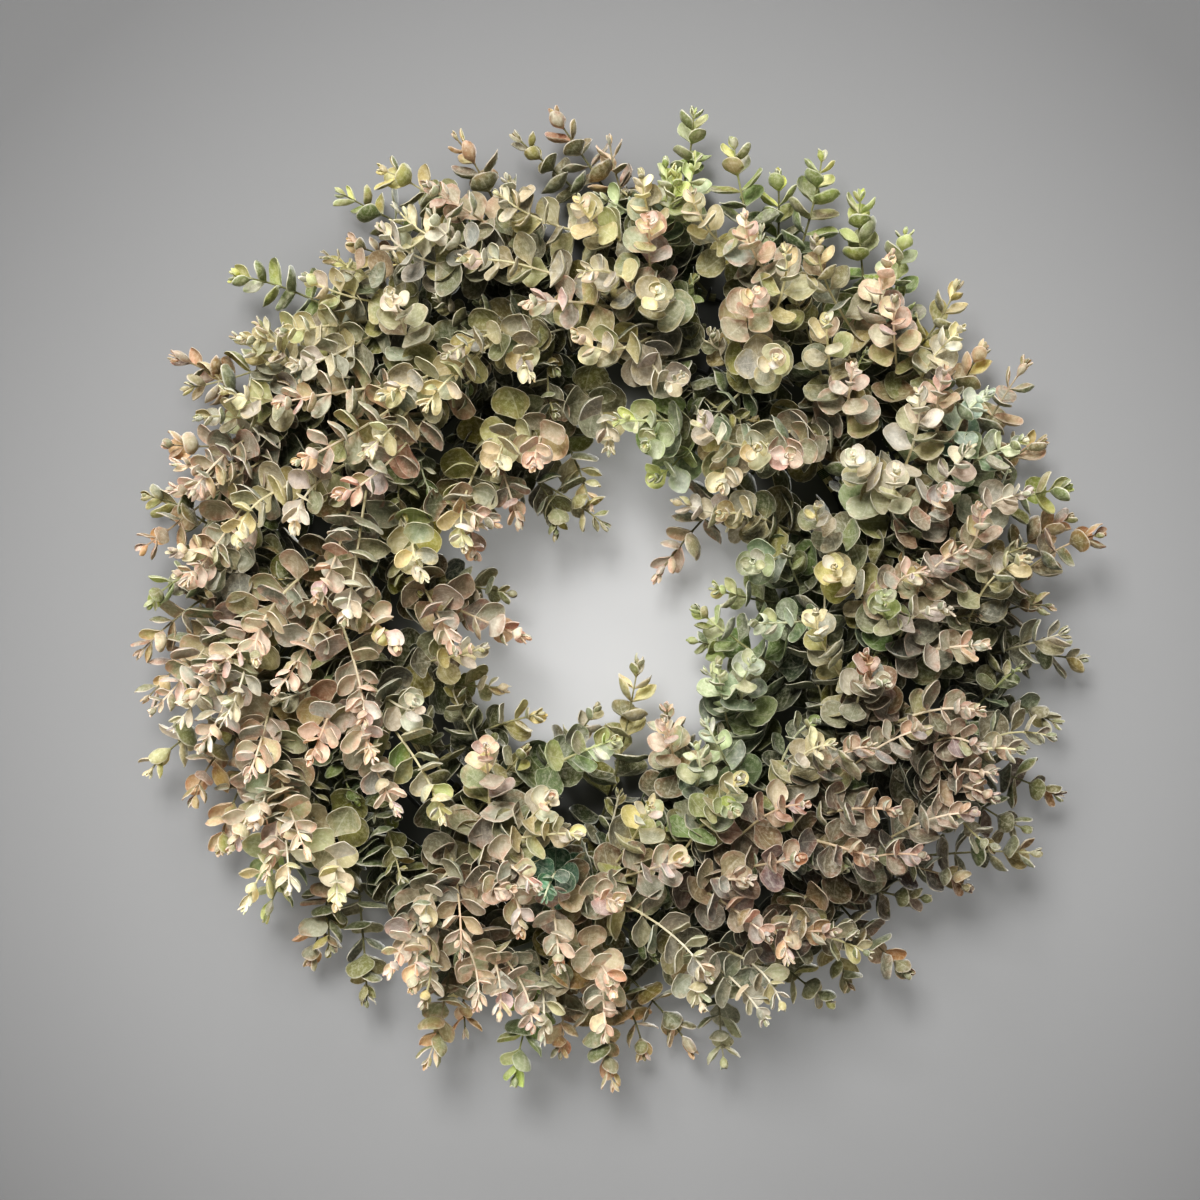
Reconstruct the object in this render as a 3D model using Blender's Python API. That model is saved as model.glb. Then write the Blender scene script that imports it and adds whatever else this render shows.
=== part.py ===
"""Eucalyptus wreath: leafy stems gathered in small bunches and clamped to a black wire frame.

The wreath hangs upright. X runs to the right, Z up, and -Y to the viewer. The origin is where a
wall hook bears, under the top of the outer rail. Lengths are metres, and the tables below are in
millimetres from the middle of the ring.
"""

import math

import bmesh
import bpy
import numpy as np
from mathutils.bvhtree import BVHTree

MM = 0.001
SEED = 24
TURN = 2.0 * math.pi

# The wire frame: three rails, struts that join them, and a prong bent over each bunch
RAIL_SEGMENTS = 24
RAIL_HALF = 1.3 * MM
OUTER_RAIL = 205.0 * MM
CROWN_RAIL = 182.0 * MM
INNER_RAIL = 158.0 * MM
RAIL_FLAT = math.cos(math.pi / RAIL_SEGMENTS)
BACK_DEPTH = RAIL_HALF
CROWN_DEPTH = 24.0 * MM
STRUTS = 8
STRUT_HALF = 1.1 * MM
PRONG_RADIUS = 0.62 * MM
PRONG_SIDE = 6.0 * MM
PRONG_TAIL = 2.0 * MM
PRONG_FROM_TAIL = 5.0 * MM

# The gathered stems of a bunch, which lie along a rail
BUNCHES = 16
SEAT = 0.3 * MM
BUNDLE_TURN = math.radians(14.5)
BUNDLE_HEAD = 3.2 * MM
BUNDLE_TAIL = 2.5 * MM
FIRST_STEM = 5.0 * MM
STEM_STEP = 6.8 * MM
HEAD_OFFSET = math.radians(-4.0)
PITCH = TURN / BUNCHES

# A leafy stem: its thickness, how far back its bunch lies, and how strongly its ends steer its curve
STEM_SIDES = 3
STEM_ROOT = 1.7 * MM
STEM_TIP = 1.0 * MM
BACK_REACH = 80.0 * MM
OWN_BUNDLE = 4.3 * MM
LEAVE_PULL = 0.85
TIP_PULL = 1.05
PATH_POINTS = 25

# Leaf pairs counted from the tip: where they sit along the stem, and how long a leaf is
PAIR_FROM_TIP = tuple(d * MM for d in (3, 8, 15, 23, 33, 44, 56, 69, 83))
LEAF_LENGTH = tuple(d * MM for d in (7, 10, 13, 16, 19, 22, 24, 26, 27))
LEAF_WIDTH = (0.6, 0.72, 0.85, 0.92, 0.96, 1.0, 1.0, 1.0, 1.0)
LEAF_TILT = tuple(math.radians(a) for a in (24, 36, 46, 54, 60, 64, 67, 70, 72))
LEAF_THICK = 1.3 * MM
LEAF_CUP = 0.09
LEAF_OUTLINE = ((0.36, -0.5), (0.94, -0.3), (0.94, 0.3), (0.36, 0.5))
CLEAR = 0.4 * MM
WALL_CLEAR = 1.0 * MM
SAME_POINT = 0.001 * MM

# How deep the foliage stands in front of the wall
TIP_DEPTH = (20.0 * MM, 60.0 * MM)
INNER_DEPTH = (26.0 * MM, 84.0 * MM)
FOLIAGE_BACK = 30.0 * MM
FOLIAGE_RISE = 86.0 * MM
FOLIAGE_RADIUS = 186.0 * MM
FOLIAGE_HALF = 135.0 * MM
LIFT_GAIN = 16.0 * MM

# Each stem: where its tip is seen, right and up from the middle of the ring in millimetres, which
# way it points there in degrees from the right, and how far it turns to the viewer
OUTER_STEMS = (
    (-240, 205, 175, 10), (-277, 153, 165, 10), (-268, 134, 190, 5), (-174, 259, 150, 5),
    (-145, 270, 160, 15), (-100, 292, 130, 5), (-167, 228, 150, 30), (-281, 98, 175, 20),
    (-61, 292, 140, 10), (-38, 308, 125, 5), (-3, 289, 95, 5), (50, 308, 90, 10),
    (75, 286, 95, 5), (104, 270, 95, 15), (131, 280, 85, 5), (155, 254, 85, 15),
    (182, 229, 80, 10), (215, 197, 70, 20), (234, 159, 50, 10), (258, 148, 55, 20),
    (270, 101, 30, 20), (283, 71, 15, 10), (288, 52, 20, 5), (304, 41, 10, 10),
    (275, -4, 345, 25), (297, -38, 350, 5), (281, -21, 20, 15), (280, -78, 335, 10),
    (281, -124, 335, 10), (258, -144, 340, 5), (263, -159, 355, 20), (220, -180, 325, 20),
    (195, -188, 0, 10), (184, -234, 325, 15), (148, -245, 285, 5), (136, -256, 320, 15),
    (69, -291, 280, 10), (48, -285, 300, 20), (18, -288, 275, 5), (-1, -305, 285, 10),
    (-34, -283, 265, 20), (-63, -302, 265, 5), (-95, -275, 275, 10), (-117, -289, 250, 15),
    (-157, -253, 270, 10), (-193, -229, 255, 5), (-181, -222, 275, 20), (-220, -199, 255, 10),
    (-250, -156, 260, 15), (-265, -126, 260, 5), (-297, 66, 175, 5), (-296, 33, 215, 10),
    (-291, -2, 240, 5), (-299, -33, 230, 15), (-296, -62, 225, 5), (-294, -108, 235, 10),
)
INNER_STEMS = (
    (-7, 48, 320, 0), (-16, 60, 280, 20), (-37, 42, 265, 5), (-60, 48, 285, 0),
    (-88, 29, 290, 25), (-77, -12, 330, 20), (-56, -23, 340, 5), (-71, -55, 0, 5),
    (-48, -72, 10, 10), (-12, -69, 60, 10), (15, -40, 80, 5), (27, 15, 235, 5),
    (51, -6, 140, 10), (51, -26, 170, 0), (58, -45, 130, 25), (40, 61, 160, 5),
    (24, 76, 200, 50), (33, -69, 95, 30), (64, 7, 160, 35), (-66, 4, 350, 0),
)
CROWN_STEMS = (
    (-136, 186, 120, 75), (-229, 161, 175, 20), (-202, 164, 190, 35), (-205, 120, 195, 30),
    (-193, 84, 205, 35), (-152, 89, 225, 40), (-141, 123, 210, 45), (-115, 117, 240, 40),
    (-55, 180, 190, 30), (-92, 207, 190, 35), (-22, 243, 110, 55), (20, 231, 100, 70),
    (25, 188, 80, 75), (-24, 161, 135, 35), (-19, 199, 200, 50), (47, 248, 100, 45),
    (79, 234, 95, 35), (85, 187, 80, 70), (-51, 136, 300, 40), (-73, 79, 265, 40),
    (-50, 82, 265, 50), (1, 110, 180, 35), (97, 147, 60, 75), (86, 92, 45, 75),
    (105, 87, 0, 80), (104, 213, 100, 45), (123, 219, 95, 25), (170, 183, 90, 35),
    (169, 211, 65, 25), (128, 170, 95, 60), (144, 141, 85, 60), (201, 139, 70, 35),
    (184, 126, 105, 45), (144, 88, 120, 80), (170, 79, 90, 60), (215, 93, 60, 40),
    (199, 66, 90, 65), (221, 56, 110, 45), (122, 56, 80, 60), (133, 20, 60, 80),
    (163, 3, 80, 65), (210, 30, 20, 45), (251, 25, 15, 30), (122, -8, 90, 55),
    (152, -33, 110, 50), (224, -27, 5, 30), (221, -67, 350, 30), (223, -90, 330, 25),
    (155, -89, 0, 40), (187, -78, 15, 30), (231, -106, 350, 20), (218, -130, 0, 25),
    (170, -128, 350, 45), (115, -124, 0, 45), (156, -156, 345, 40), (187, -156, 350, 25),
    (112, -156, 20, 60), (81, -169, 10, 60), (92, -204, 320, 40), (133, -202, 0, 35),
    (72, -128, 330, 65), (76, -108, 60, 70), (154, -216, 330, 25), (84, 23, 130, 80),
    (84, -37, 60, 60), (65, 69, 250, 50), (-79, -89, 90, 80), (-1, -86, 20, 40),
    (131, -88, 0, 45), (-39, -120, 60, 75), (21, -125, 80, 75), (40, -158, 20, 60),
    (2, -183, 350, 55), (-23, -142, 0, 40), (-48, -174, 320, 35), (-58, -201, 265, 30),
    (-51, -262, 270, 15), (-2, -240, 280, 30), (56, -229, 300, 25), (-94, -215, 270, 25),
    (-152, -74, 275, 35), (-147, -96, 290, 35), (-133, -29, 310, 35), (-93, 33, 285, 30),
    (-117, 14, 300, 35), (-98, -30, 300, 30), (-167, 63, 205, 35), (-182, 1, 240, 35),
    (-205, -54, 230, 35), (-218, -37, 285, 35), (-250, -43, 200, 25), (-262, 11, 230, 35),
    (-259, 66, 240, 25), (-229, 35, 280, 30), (-185, -97, 250, 30), (-133, -128, 300, 35),
    (-105, -133, 285, 30), (-224, -108, 250, 30), (-188, -155, 295, 30), (-138, -229, 250, 20),
)
OUTER_FROM = 238.0 * MM
INNER_FROM = 118.0 * MM

# The pairs that a stem keeps in these solids, for far tips, rosettes that face the viewer and the rest
TIP_PAIRS = ((1, 5), (3, 7), (2, 6), (1, 4, 7))
FACING_PAIRS = ((3, 6), (4, 7), (5,))
SIDE_PAIRS = ((4, 7), (5, 8), (3, 6))
FACING_FROM = 54.0
# What a pair tries in turn to stay clear of its neighbours: size, more tilt in radians, a quarter turn
PAIR_CHOICES = (
    (1.0, 0.0, 0), (1.0, -0.25, 0), (1.0, 0.2, 0), (1.0, 0.0, 1), (1.0, -0.25, 1),
    (0.85, 0.0, 0), (0.85, 0.0, 1), (0.85, -0.4, 0), (0.7, -0.2, 0), (0.7, -0.2, 1),
)
# Other ways in which a stem may leave its bunch, as added shares along and across the rail
LEAVE_BENDS = (
    (0.0, 0.0), (0.4, 0.0), (-0.4, 0.0), (0.0, 0.4), (0.0, -0.4),
    (0.7, 0.3), (-0.7, 0.3), (0.4, -0.5), (-0.4, -0.5),
)


class Row:
    """One rail with its bunches: the most stems of each, how they leave it, and their colour."""

    def __init__(self, name, most, radius, depth, outward, forward, colour):
        self.name = name
        self.most = most
        self.radius = radius
        self.depth = depth
        self.outward = outward
        self.forward = forward
        self.colour = colour


OUTER_ROW = Row("outer_bunch", 7, OUTER_RAIL, BACK_DEPTH, 0.8, 0.35, (0.20, 0.22, 0.12))
CROWN_ROW = Row("crown_bunch", 6, CROWN_RAIL, CROWN_DEPTH, 0.0, 0.9, (0.30, 0.28, 0.17))
INNER_ROW = Row("inner_bunch", 5, INNER_RAIL, BACK_DEPTH, -0.8, 0.35, (0.22, 0.26, 0.15))
ROWS = (OUTER_ROW, CROWN_ROW, INNER_ROW)


def place(right, up, depth):
    """World point of a place given from the middle of the ring and from the wall."""
    return np.array([right, BACK_DEPTH - depth, up - (OUTER_RAIL - RAIL_HALF) * RAIL_FLAT])


def ring_axes(angle):
    """The outward, along and forward directions at an angle round the ring."""
    outward = np.array([math.cos(angle), 0.0, math.sin(angle)])
    along = np.array([-math.sin(angle), 0.0, math.cos(angle)])
    return outward, along, np.array([0.0, -1.0, 0.0])


def unit(vector):
    """The vector at length one."""
    return vector / np.linalg.norm(vector)


def carried_axes(path, first):
    """Tangents, and two cross directions carried along the path without twist."""
    tangents = np.gradient(path, axis=0)
    tangents /= np.linalg.norm(tangents, axis=1)[:, None]
    sides = np.empty_like(path)
    side = first
    for i, tangent in enumerate(tangents):
        side = unit(side - tangent * np.dot(side, tangent))
        sides[i] = side
    return tangents, sides, np.cross(tangents, sides)


class Mesh:
    """Vertices and faces while a closed solid is put together."""

    def __init__(self):
        self.points = []
        self.faces = []

    def add(self, points):
        """Adds points and returns their numbers."""
        first = len(self.points)
        self.points.extend(np.asarray(points, dtype=float))
        return list(range(first, first + len(points)))

    def object(self, name):
        """A Blender object with these faces."""
        mesh = bpy.data.meshes.new(name)
        build = bmesh.new()
        corners = [build.verts.new(p) for p in self.points]
        for face in self.faces:
            build.faces.new([corners[i] for i in face])
        bmesh.ops.triangulate(build, faces=build.faces[:])
        build.to_mesh(mesh)
        build.free()
        made = bpy.data.objects.new(name, mesh)
        bpy.context.scene.collection.objects.link(made)
        return made

    def tree(self):
        """A search tree of the faces, which finds crossings."""
        return BVHTree.FromPolygons([tuple(p) for p in self.points], self.faces)


def join_rings(solid, lower, upper, skip=()):
    """Side faces between two rings of the same count."""
    count = len(lower)
    for j in range(count):
        if j not in skip:
            k = (j + 1) % count
            solid.faces.append((lower[j], lower[k], upper[k], upper[j]))


def tube(path, radii, sides, first):
    """A closed tube with flat sides along a path, with flat ends."""
    solid = Mesh()
    _, across, beyond = carried_axes(np.asarray(path, dtype=float), first)
    turns = (np.arange(sides) + 0.5) * TURN / sides
    rings = []
    for point, radius, a, b in zip(path, radii, across, beyond):
        corner = radius / math.cos(math.pi / sides)
        ring = [point + corner * (math.cos(t) * a + math.sin(t) * b) for t in turns]
        rings.append(solid.add(ring))
    for lower, upper in zip(rings, rings[1:]):
        join_rings(solid, lower, upper)
    solid.faces.append(tuple(reversed(rings[0])))
    solid.faces.append(tuple(rings[-1]))
    return solid


def rail(row):
    """A ring of square wire, its back flat to the wall."""
    solid = Mesh()
    corners = ((1, -1), (1, 1), (-1, 1), (-1, -1))
    rings = []
    for i in range(RAIL_SEGMENTS):
        outward, _, forward = ring_axes((i + 0.5) * TURN / RAIL_SEGMENTS)
        centre = place(*(row.radius * outward[[0, 2]]), row.depth)
        ring = [centre + RAIL_HALF * (a * outward + b * forward) for a, b in corners]
        rings.append(solid.add(ring))
    for lower, upper in zip(rings, rings[1:] + rings[:1]):
        join_rings(solid, upper, lower)
    return solid


def strut(angle):
    """A bar from the outer rail over the crown rail to the inner rail."""
    outward, along, _ = ring_axes(angle)
    ends = ((OUTER_RAIL, BACK_DEPTH), (CROWN_RAIL, CROWN_DEPTH), (INNER_RAIL, BACK_DEPTH))
    path = [place(*(radius * RAIL_FLAT * outward[[0, 2]]), depth) for radius, depth in ends]
    return tube(path, [STRUT_HALF] * 3, 4, along)


class Bunch:
    """The gathered stems on one rail, from which leafy stems spring."""

    def __init__(self, row, number):
        self.row = row
        self.number = number
        self.angle = number * PITCH + HEAD_OFFSET
        self.stems = []
        tail_angle = self.angle - BUNDLE_TURN
        depth = row.depth + RAIL_HALF + SEAT + BUNDLE_HEAD
        self.head = place(*(row.radius * ring_axes(self.angle)[0][[0, 2]]), depth)
        drop = (BUNDLE_HEAD - BUNDLE_TAIL) * np.array([0.0, 1.0, 0.0])
        self.tail = place(*(row.radius * ring_axes(tail_angle)[0][[0, 2]]), depth) + drop
        self.run = unit(self.tail - self.head)

    @property
    def name(self):
        """The bunch's node name."""
        return f"{self.row.name}_{self.number + 1:02d}"

    def root(self, index):
        """Where the stem of this index springs from the gathered stems."""
        return self.head + self.run * (FIRST_STEM + STEM_STEP * index)

    def leave(self):
        """The direction in which stems leave."""
        outward, along, forward = ring_axes(self.angle)
        return unit(self.row.outward * outward + self.row.forward * forward + 0.35 * along)

    def bundle(self):
        """The gathered stems: a square bar that narrows to its tail."""
        radii = (BUNDLE_HEAD, BUNDLE_TAIL)
        return tube([self.head, self.tail], radii, 4, np.array([0.0, 1.0, 0.0]))

    def prong(self):
        """A wire from the rail, bent over the gathered stems, with a cut end."""
        angle = self.angle - BUNDLE_TURN + PRONG_FROM_TAIL / self.row.radius
        outward, along, forward = ring_axes(angle)
        rail_point = place(*(self.row.radius * RAIL_FLAT * outward[[0, 2]]), self.row.depth)
        rise = RAIL_HALF + SEAT + 2.0 * (BUNDLE_TAIL + CLEAR + PRONG_RADIUS)
        path = [
            rail_point,
            rail_point + PRONG_SIDE * outward,
            rail_point + PRONG_SIDE * outward + rise * forward,
            rail_point - PRONG_TAIL * outward + rise * forward,
        ]
        return tube(path, [PRONG_RADIUS] * 4, 3, along)


class Stem:
    """One leafy stem: its path from the gathered stems to its tip, and its leaf pairs."""

    def __init__(self, data, kind, index, draw):
        right, up, heading, lift = data
        self.kind = kind
        self.index = index
        self.name = f"stem {index}"
        roll, share = draw.uniform(0.0, TURN), draw.uniform(0.0, 1.0)
        self.lift = lift
        self.roll = roll
        heading = math.radians(heading)
        tilt = math.radians(lift)
        flat = np.array([math.cos(heading), math.sin(heading)])
        self.seen = np.array([right, up]) * MM
        self.tip_way = np.array([flat[0] * math.cos(tilt), -math.sin(tilt), flat[1] * math.cos(tilt)])
        self.tip = place(*self.seen, self.tip_depth(share))
        back = self.seen - flat * BACK_REACH * math.cos(tilt)
        self.root_angle = math.atan2(back[1], back[0])
        self.pairs = {}

    def tip_depth(self, share):
        """How far the tip stands from the wall: the foliage is a half round, with tips all round its rim."""
        if self.kind != "crown":
            low, high = TIP_DEPTH if self.kind == "tip" else INNER_DEPTH
            return low + (high - low) * share
        off = min(1.0, abs(np.linalg.norm(self.seen) - FOLIAGE_RADIUS) / FOLIAGE_HALF)
        rise = FOLIAGE_RISE * math.sqrt(1.0 - off * off)
        return FOLIAGE_BACK + rise + LIFT_GAIN * math.sin(math.radians(self.lift))

    def grow(self, root, leave):
        """Sets the path: a smooth curve that leaves the root one way and ends along the tip's way."""
        t = np.linspace(0.0, 1.0, PATH_POINTS)[:, None]
        reach = np.linalg.norm(self.tip - root)
        self.path = (
            (2 * t**3 - 3 * t**2 + 1) * root
            + (t**3 - 2 * t**2 + t) * leave * reach * LEAVE_PULL
            + (3 * t**2 - 2 * t**3) * self.tip
            + (t**3 - t**2) * self.tip_way * reach * TIP_PULL
        )
        steps = np.linalg.norm(np.diff(self.path, axis=0), axis=1)
        self.along = np.concatenate([[0.0], np.cumsum(steps)])
        self.length = self.along[-1]
        side = unit(np.cross(self.path[1] - self.path[0], np.array([0.3, 0.2, 0.9])))
        self.tangents, self.sides, self.beyonds = carried_axes(self.path, side)

    def station(self, distance):
        """Point, tangent, two cross directions and radius of the stem at a distance from the root."""
        distance = min(max(distance, 0.0), self.length)
        read = [
            np.array([np.interp(distance, self.along, values[:, i]) for i in range(3)])
            for values in (self.path, self.tangents, self.sides, self.beyonds)
        ]
        point, tangent, side, beyond = read[0], unit(read[1]), unit(read[2]), unit(read[3])
        turned = math.cos(self.roll) * side + math.sin(self.roll) * beyond
        radius = STEM_ROOT + (STEM_TIP - STEM_ROOT) * distance / self.length
        return point, tangent, turned, np.cross(tangent, turned), radius

    def ring(self, distance):
        """The corners of the stem at a distance from the root, the first beyond."""
        point, _, a, b, radius = self.station(distance)
        turns = [(0.25 + i / STEM_SIDES) * TURN for i in range(STEM_SIDES)]
        return [point + radius * (math.cos(t) * a + math.sin(t) * b) for t in turns]


class Pair:
    """Two opposite leaves at one place on a stem."""

    def __init__(self, stem, order, scale, tilt, turned):
        self.stem = stem
        self.length = LEAF_LENGTH[order] * scale
        self.width = self.length * LEAF_WIDTH[order]
        self.tilt = LEAF_TILT[order] + tilt
        self.distance = stem.length - PAIR_FROM_TIP[order]
        self.thick = min(LEAF_THICK, 0.9 * MM + 0.02 * self.length)
        # A leaf grows from the stem's side that faces it best: its side, and where it points
        self.sides = {2: (1, 0), 0: (-1, 0)} if (order + turned) % 2 else {1: (0, -1), 0: (0, 1)}

    def blade(self, side, grow=0.0):
        """A leaf's outer points, upper middle and lower middle, from the stem's side of that number."""
        point, tangent, a, b, radius = self.stem.station(self.distance)
        outward = self.sides[side][0] * a + self.sides[side][1] * b
        across = np.cross(tangent, outward)
        root = point + 0.5 * radius * outward
        axis = math.cos(self.tilt) * tangent + math.sin(self.tilt) * outward
        normal = math.sin(self.tilt) * tangent - math.cos(self.tilt) * outward
        length, width = self.length + grow, self.width + 2.0 * grow
        outline = [root + u * length * axis + v * width * across for u, v in LEAF_OUTLINE]
        middle = root + 0.55 * length * axis - LEAF_CUP * length * normal
        lift = (0.5 * self.thick + grow) * normal
        return outline, middle + lift, middle - lift

    def probe(self):
        """The two blades, a little grown, to find what they would cross."""
        solid = Mesh()
        for side in self.sides:
            outline, upper, lower = self.blade(side, CLEAR)
            root = self.stem.station(self.distance)[0]
            rim = solid.add([root] + outline)
            top, bottom = solid.add([upper, lower])
            for a, b in zip(rim, rim[1:] + rim[:1]):
                solid.faces.append((top, a, b))
                solid.faces.append((bottom, b, a))
        return solid

    def add_to(self, solid, lower, upper):
        """Grows the two blades from the stem's faces between two rings of the solid."""
        for side in self.sides:
            after = (side + 1) % STEM_SIDES
            outline, top, bottom = self.blade(side)
            q1, q2, q3, q4 = solid.add(outline)
            ct, cb = solid.add([top, bottom])
            low_a, low_b, up_a, up_b = lower[side], lower[after], upper[side], upper[after]
            rim = (up_a, q1, q2, q3, q4, up_b)
            solid.faces.extend((ct, m, n) for m, n in zip(rim, rim[1:] + rim[:1]))
            rim = (low_b, q4, q3, q2, q1, low_a)
            solid.faces.extend((cb, m, n) for m, n in zip(rim, rim[1:] + rim[:1]))
            solid.faces.extend(((low_a, q1, up_a), (low_b, up_b, q4)))


def stem_solid(stem):
    """The stem and its blades as one closed solid, pointed at the tip."""
    solid = Mesh()
    ring = solid.add(stem.ring(0.0))
    solid.faces.append(tuple(reversed(ring)))
    for order in sorted(wanted_pairs(stem), reverse=True):
        pair = stem.pairs.get(order)
        distance = stem.length - PAIR_FROM_TIP[order]
        half = 0.5 * pair.thick if pair else 0.0
        lower = solid.add(stem.ring(distance - half))
        join_rings(solid, ring, lower)
        ring = lower
        if pair:
            ring = solid.add(stem.ring(distance + half))
            join_rings(solid, lower, ring, pair.sides)
            pair.add_to(solid, lower, ring)
    apex = solid.add([stem.tip])[0]
    solid.faces.extend((ring[j], ring[(j + 1) % STEM_SIDES], apex) for j in range(STEM_SIDES))
    return solid


def stem_probe(stem, chosen):
    """The stem as its solid will run, straight between its pairs, a little grown."""
    ends = [0.0] + [stem.length - PAIR_FROM_TIP[k] for k in sorted(chosen, reverse=True)]
    path = [stem.station(max(d, 0.0))[0] for d in ends] + [stem.tip]
    path[0] = path[0] + unit(path[1] - path[0]) * OWN_BUNDLE
    radii = [STEM_ROOT + 0.5 * CLEAR] * (len(path) - 1) + [STEM_TIP]
    return tube(path, radii, 4, stem.station(0.0)[2])


class Space:
    """What has been placed, to keep new pieces clear of it."""

    def __init__(self):
        self.held = []

    def put(self, owner, solid):
        """Keeps a solid under its owner's name, and returns its search tree."""
        points = np.array(solid.points)
        tree = solid.tree()
        self.held.append((owner, points.min(axis=0), points.max(axis=0), tree))
        return tree

    def clear(self, solid, mine):
        """True where the solid crosses nothing that another owner holds."""
        points = np.array(solid.points)
        if points[:, 1].max() > BACK_DEPTH - WALL_CLEAR:
            return False
        low, high = points.min(axis=0), points.max(axis=0)
        tree = solid.tree()
        for owner, other_low, other_high, other in self.held:
            if owner in mine or np.any(low > other_high) or np.any(high < other_low):
                continue
            if tree.overlap(other):
                return False
        return True


def wanted_pairs(stem):
    """The pairs that this stem keeps, by its kind."""
    if stem.kind == "tip":
        choices = TIP_PAIRS
    elif stem.lift >= FACING_FROM:
        choices = FACING_PAIRS
    else:
        choices = SIDE_PAIRS
    wanted = choices[stem.index % len(choices)]
    return [k for k in wanted if PAIR_FROM_TIP[k] < stem.length - 12.0 * MM]


def leave_choices(bunch):
    """Directions in which a stem may leave its bunch, the plainest first."""
    plain = bunch.leave()
    outward, along, forward = ring_axes(bunch.angle)
    second = outward if bunch.row is CROWN_ROW else forward
    return [unit(plain + p * along + q * second) for p, q in LEAVE_BENDS]


def choose_row(stem):
    """The rail whose bunches carry a stem."""
    radius = np.linalg.norm(stem.seen)
    if stem.kind == "tip" or radius > OUTER_FROM:
        return OUTER_ROW
    if stem.kind == "inner" or radius < INNER_FROM:
        return INNER_ROW
    return CROWN_ROW


def place_stem(stem, bunches, space):
    """Grows a stem from the nearest bunch from which it runs clear. False if there is none."""
    row = choose_row(stem)
    nearest = round((stem.root_angle - HEAD_OFFSET) / PITCH)
    for shift in (0, 1, -1, 2, -2):
        bunch = bunches[row.name, (nearest + shift) % BUNCHES]
        if len(bunch.stems) >= row.most:
            continue
        for leave in leave_choices(bunch):
            stem.grow(bunch.root(len(bunch.stems)), leave)
            probe = stem_probe(stem, wanted_pairs(stem))
            if space.clear(probe, {bunch.name}):
                stem.bunch = bunch
                bunch.stems.append(stem)
                stem.own_tree = space.put(bunch.name, probe)
                return True
    return False


def place_pairs(stem, space):
    """Gives a stem the leaf pairs that stay clear of every other stem's leaves."""
    for order in wanted_pairs(stem):
        for scale, tilt, turned in PAIR_CHOICES:
            pair = Pair(stem, order, scale, tilt, turned)
            probe = pair.probe()
            if space.clear(probe, {stem.name, stem.bunch.name}) and own_clear(stem, probe, space):
                stem.pairs[order] = pair
                space.put(stem.name, probe)
                break


def own_clear(stem, probe, space):
    """True where the blades miss the other stems and bundle of their own bunch."""
    tree = probe.tree()
    return not any(
        owner == stem.bunch.name and other is not stem.own_tree and tree.overlap(other)
        for owner, _, _, other in space.held
    )


def principled(name, colour, roughness, metallic=0.0):
    """A plain material of one colour."""
    material = bpy.data.materials.new(name)
    material.use_nodes = True
    shader = material.node_tree.nodes["Principled BSDF"]
    shader.inputs["Base Color"].default_value = (*colour, 1.0)
    shader.inputs["Roughness"].default_value = roughness
    shader.inputs["Metallic"].default_value = metallic
    return material


def merged_and_closed(mesh):
    """Merges points that nearly coincide. True where the mesh is then one closed body."""
    build = bmesh.new()
    build.from_mesh(mesh)
    bmesh.ops.remove_doubles(build, verts=build.verts[:], dist=SAME_POINT)
    closed = bool(build.faces) and all(len(edge.link_faces) == 2 for edge in build.edges)
    reached = set()
    waiting = list(build.verts)[:1]
    while waiting:
        corner = waiting.pop()
        if corner not in reached:
            reached.add(corner)
            waiting.extend(edge.other_vert(corner) for edge in corner.link_edges)
    whole = len(reached) == len(build.verts)
    build.to_mesh(mesh)
    build.free()
    return closed and whole


def fuse(name, solids, material):
    """Joins solids into one object by a Boolean union on a collection."""
    first = solids[0].object(name)
    group = bpy.data.collections.new(name + "_parts")
    for i, solid in enumerate(solids[1:]):
        part = solid.object(f"{name}_part_{i}")
        bpy.context.scene.collection.objects.unlink(part)
        group.objects.link(part)
    bpy.context.scene.collection.children.link(group)
    union = first.modifiers.new("union", "BOOLEAN")
    union.operation = "UNION"
    union.operand_type = "COLLECTION"
    union.collection = group
    for solver in ("EXACT", "MANIFOLD"):
        union.solver = solver
        graph = bpy.context.evaluated_depsgraph_get()
        joined = bpy.data.meshes.new_from_object(first.evaluated_get(graph))
        if merged_and_closed(joined):
            break
    first.modifiers.clear()
    first.data = joined
    for part in list(group.objects):
        bpy.data.objects.remove(part)
    bpy.data.collections.remove(group)
    joined.materials.clear()
    joined.materials.append(material)
    return first


def main():
    """Builds the frame and every bunch."""
    for item in list(bpy.data.objects):
        bpy.data.objects.remove(item)
    draw = np.random.default_rng(SEED)

    bunches = {(row.name, i): Bunch(row, i) for row in ROWS for i in range(BUNCHES)}
    rails = [rail(row) for row in ROWS]
    struts = [strut((i + 0.5) * TURN / STRUTS) for i in range(STRUTS)]
    space = Space()
    for solid in rails + struts:
        space.put("wire_frame", solid)
    for bunch in bunches.values():
        space.put("wire_frame", bunch.prong())
        space.put(bunch.name, bunch.bundle())

    stems = []
    for kind, table in (("tip", OUTER_STEMS), ("inner", INNER_STEMS), ("crown", CROWN_STEMS)):
        for data in table:
            stem = Stem(data, kind, len(stems), draw)
            if place_stem(stem, bunches, space):
                stems.append(stem)
    for stem in stems:
        place_pairs(stem, space)

    black = principled("black_wire", (0.02, 0.02, 0.02), 0.45, 0.6)
    prongs = [bunch.prong() for bunch in bunches.values() if bunch.stems]
    fuse("wire_frame", rails + struts + prongs, black)
    for bunch in bunches.values():
        if bunch.stems:
            leaf = principled(bunch.name, bunch.row.colour, 0.6)
            fuse(bunch.name, [bunch.bundle()] + [stem_solid(s) for s in bunch.stems], leaf)


main()
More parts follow.
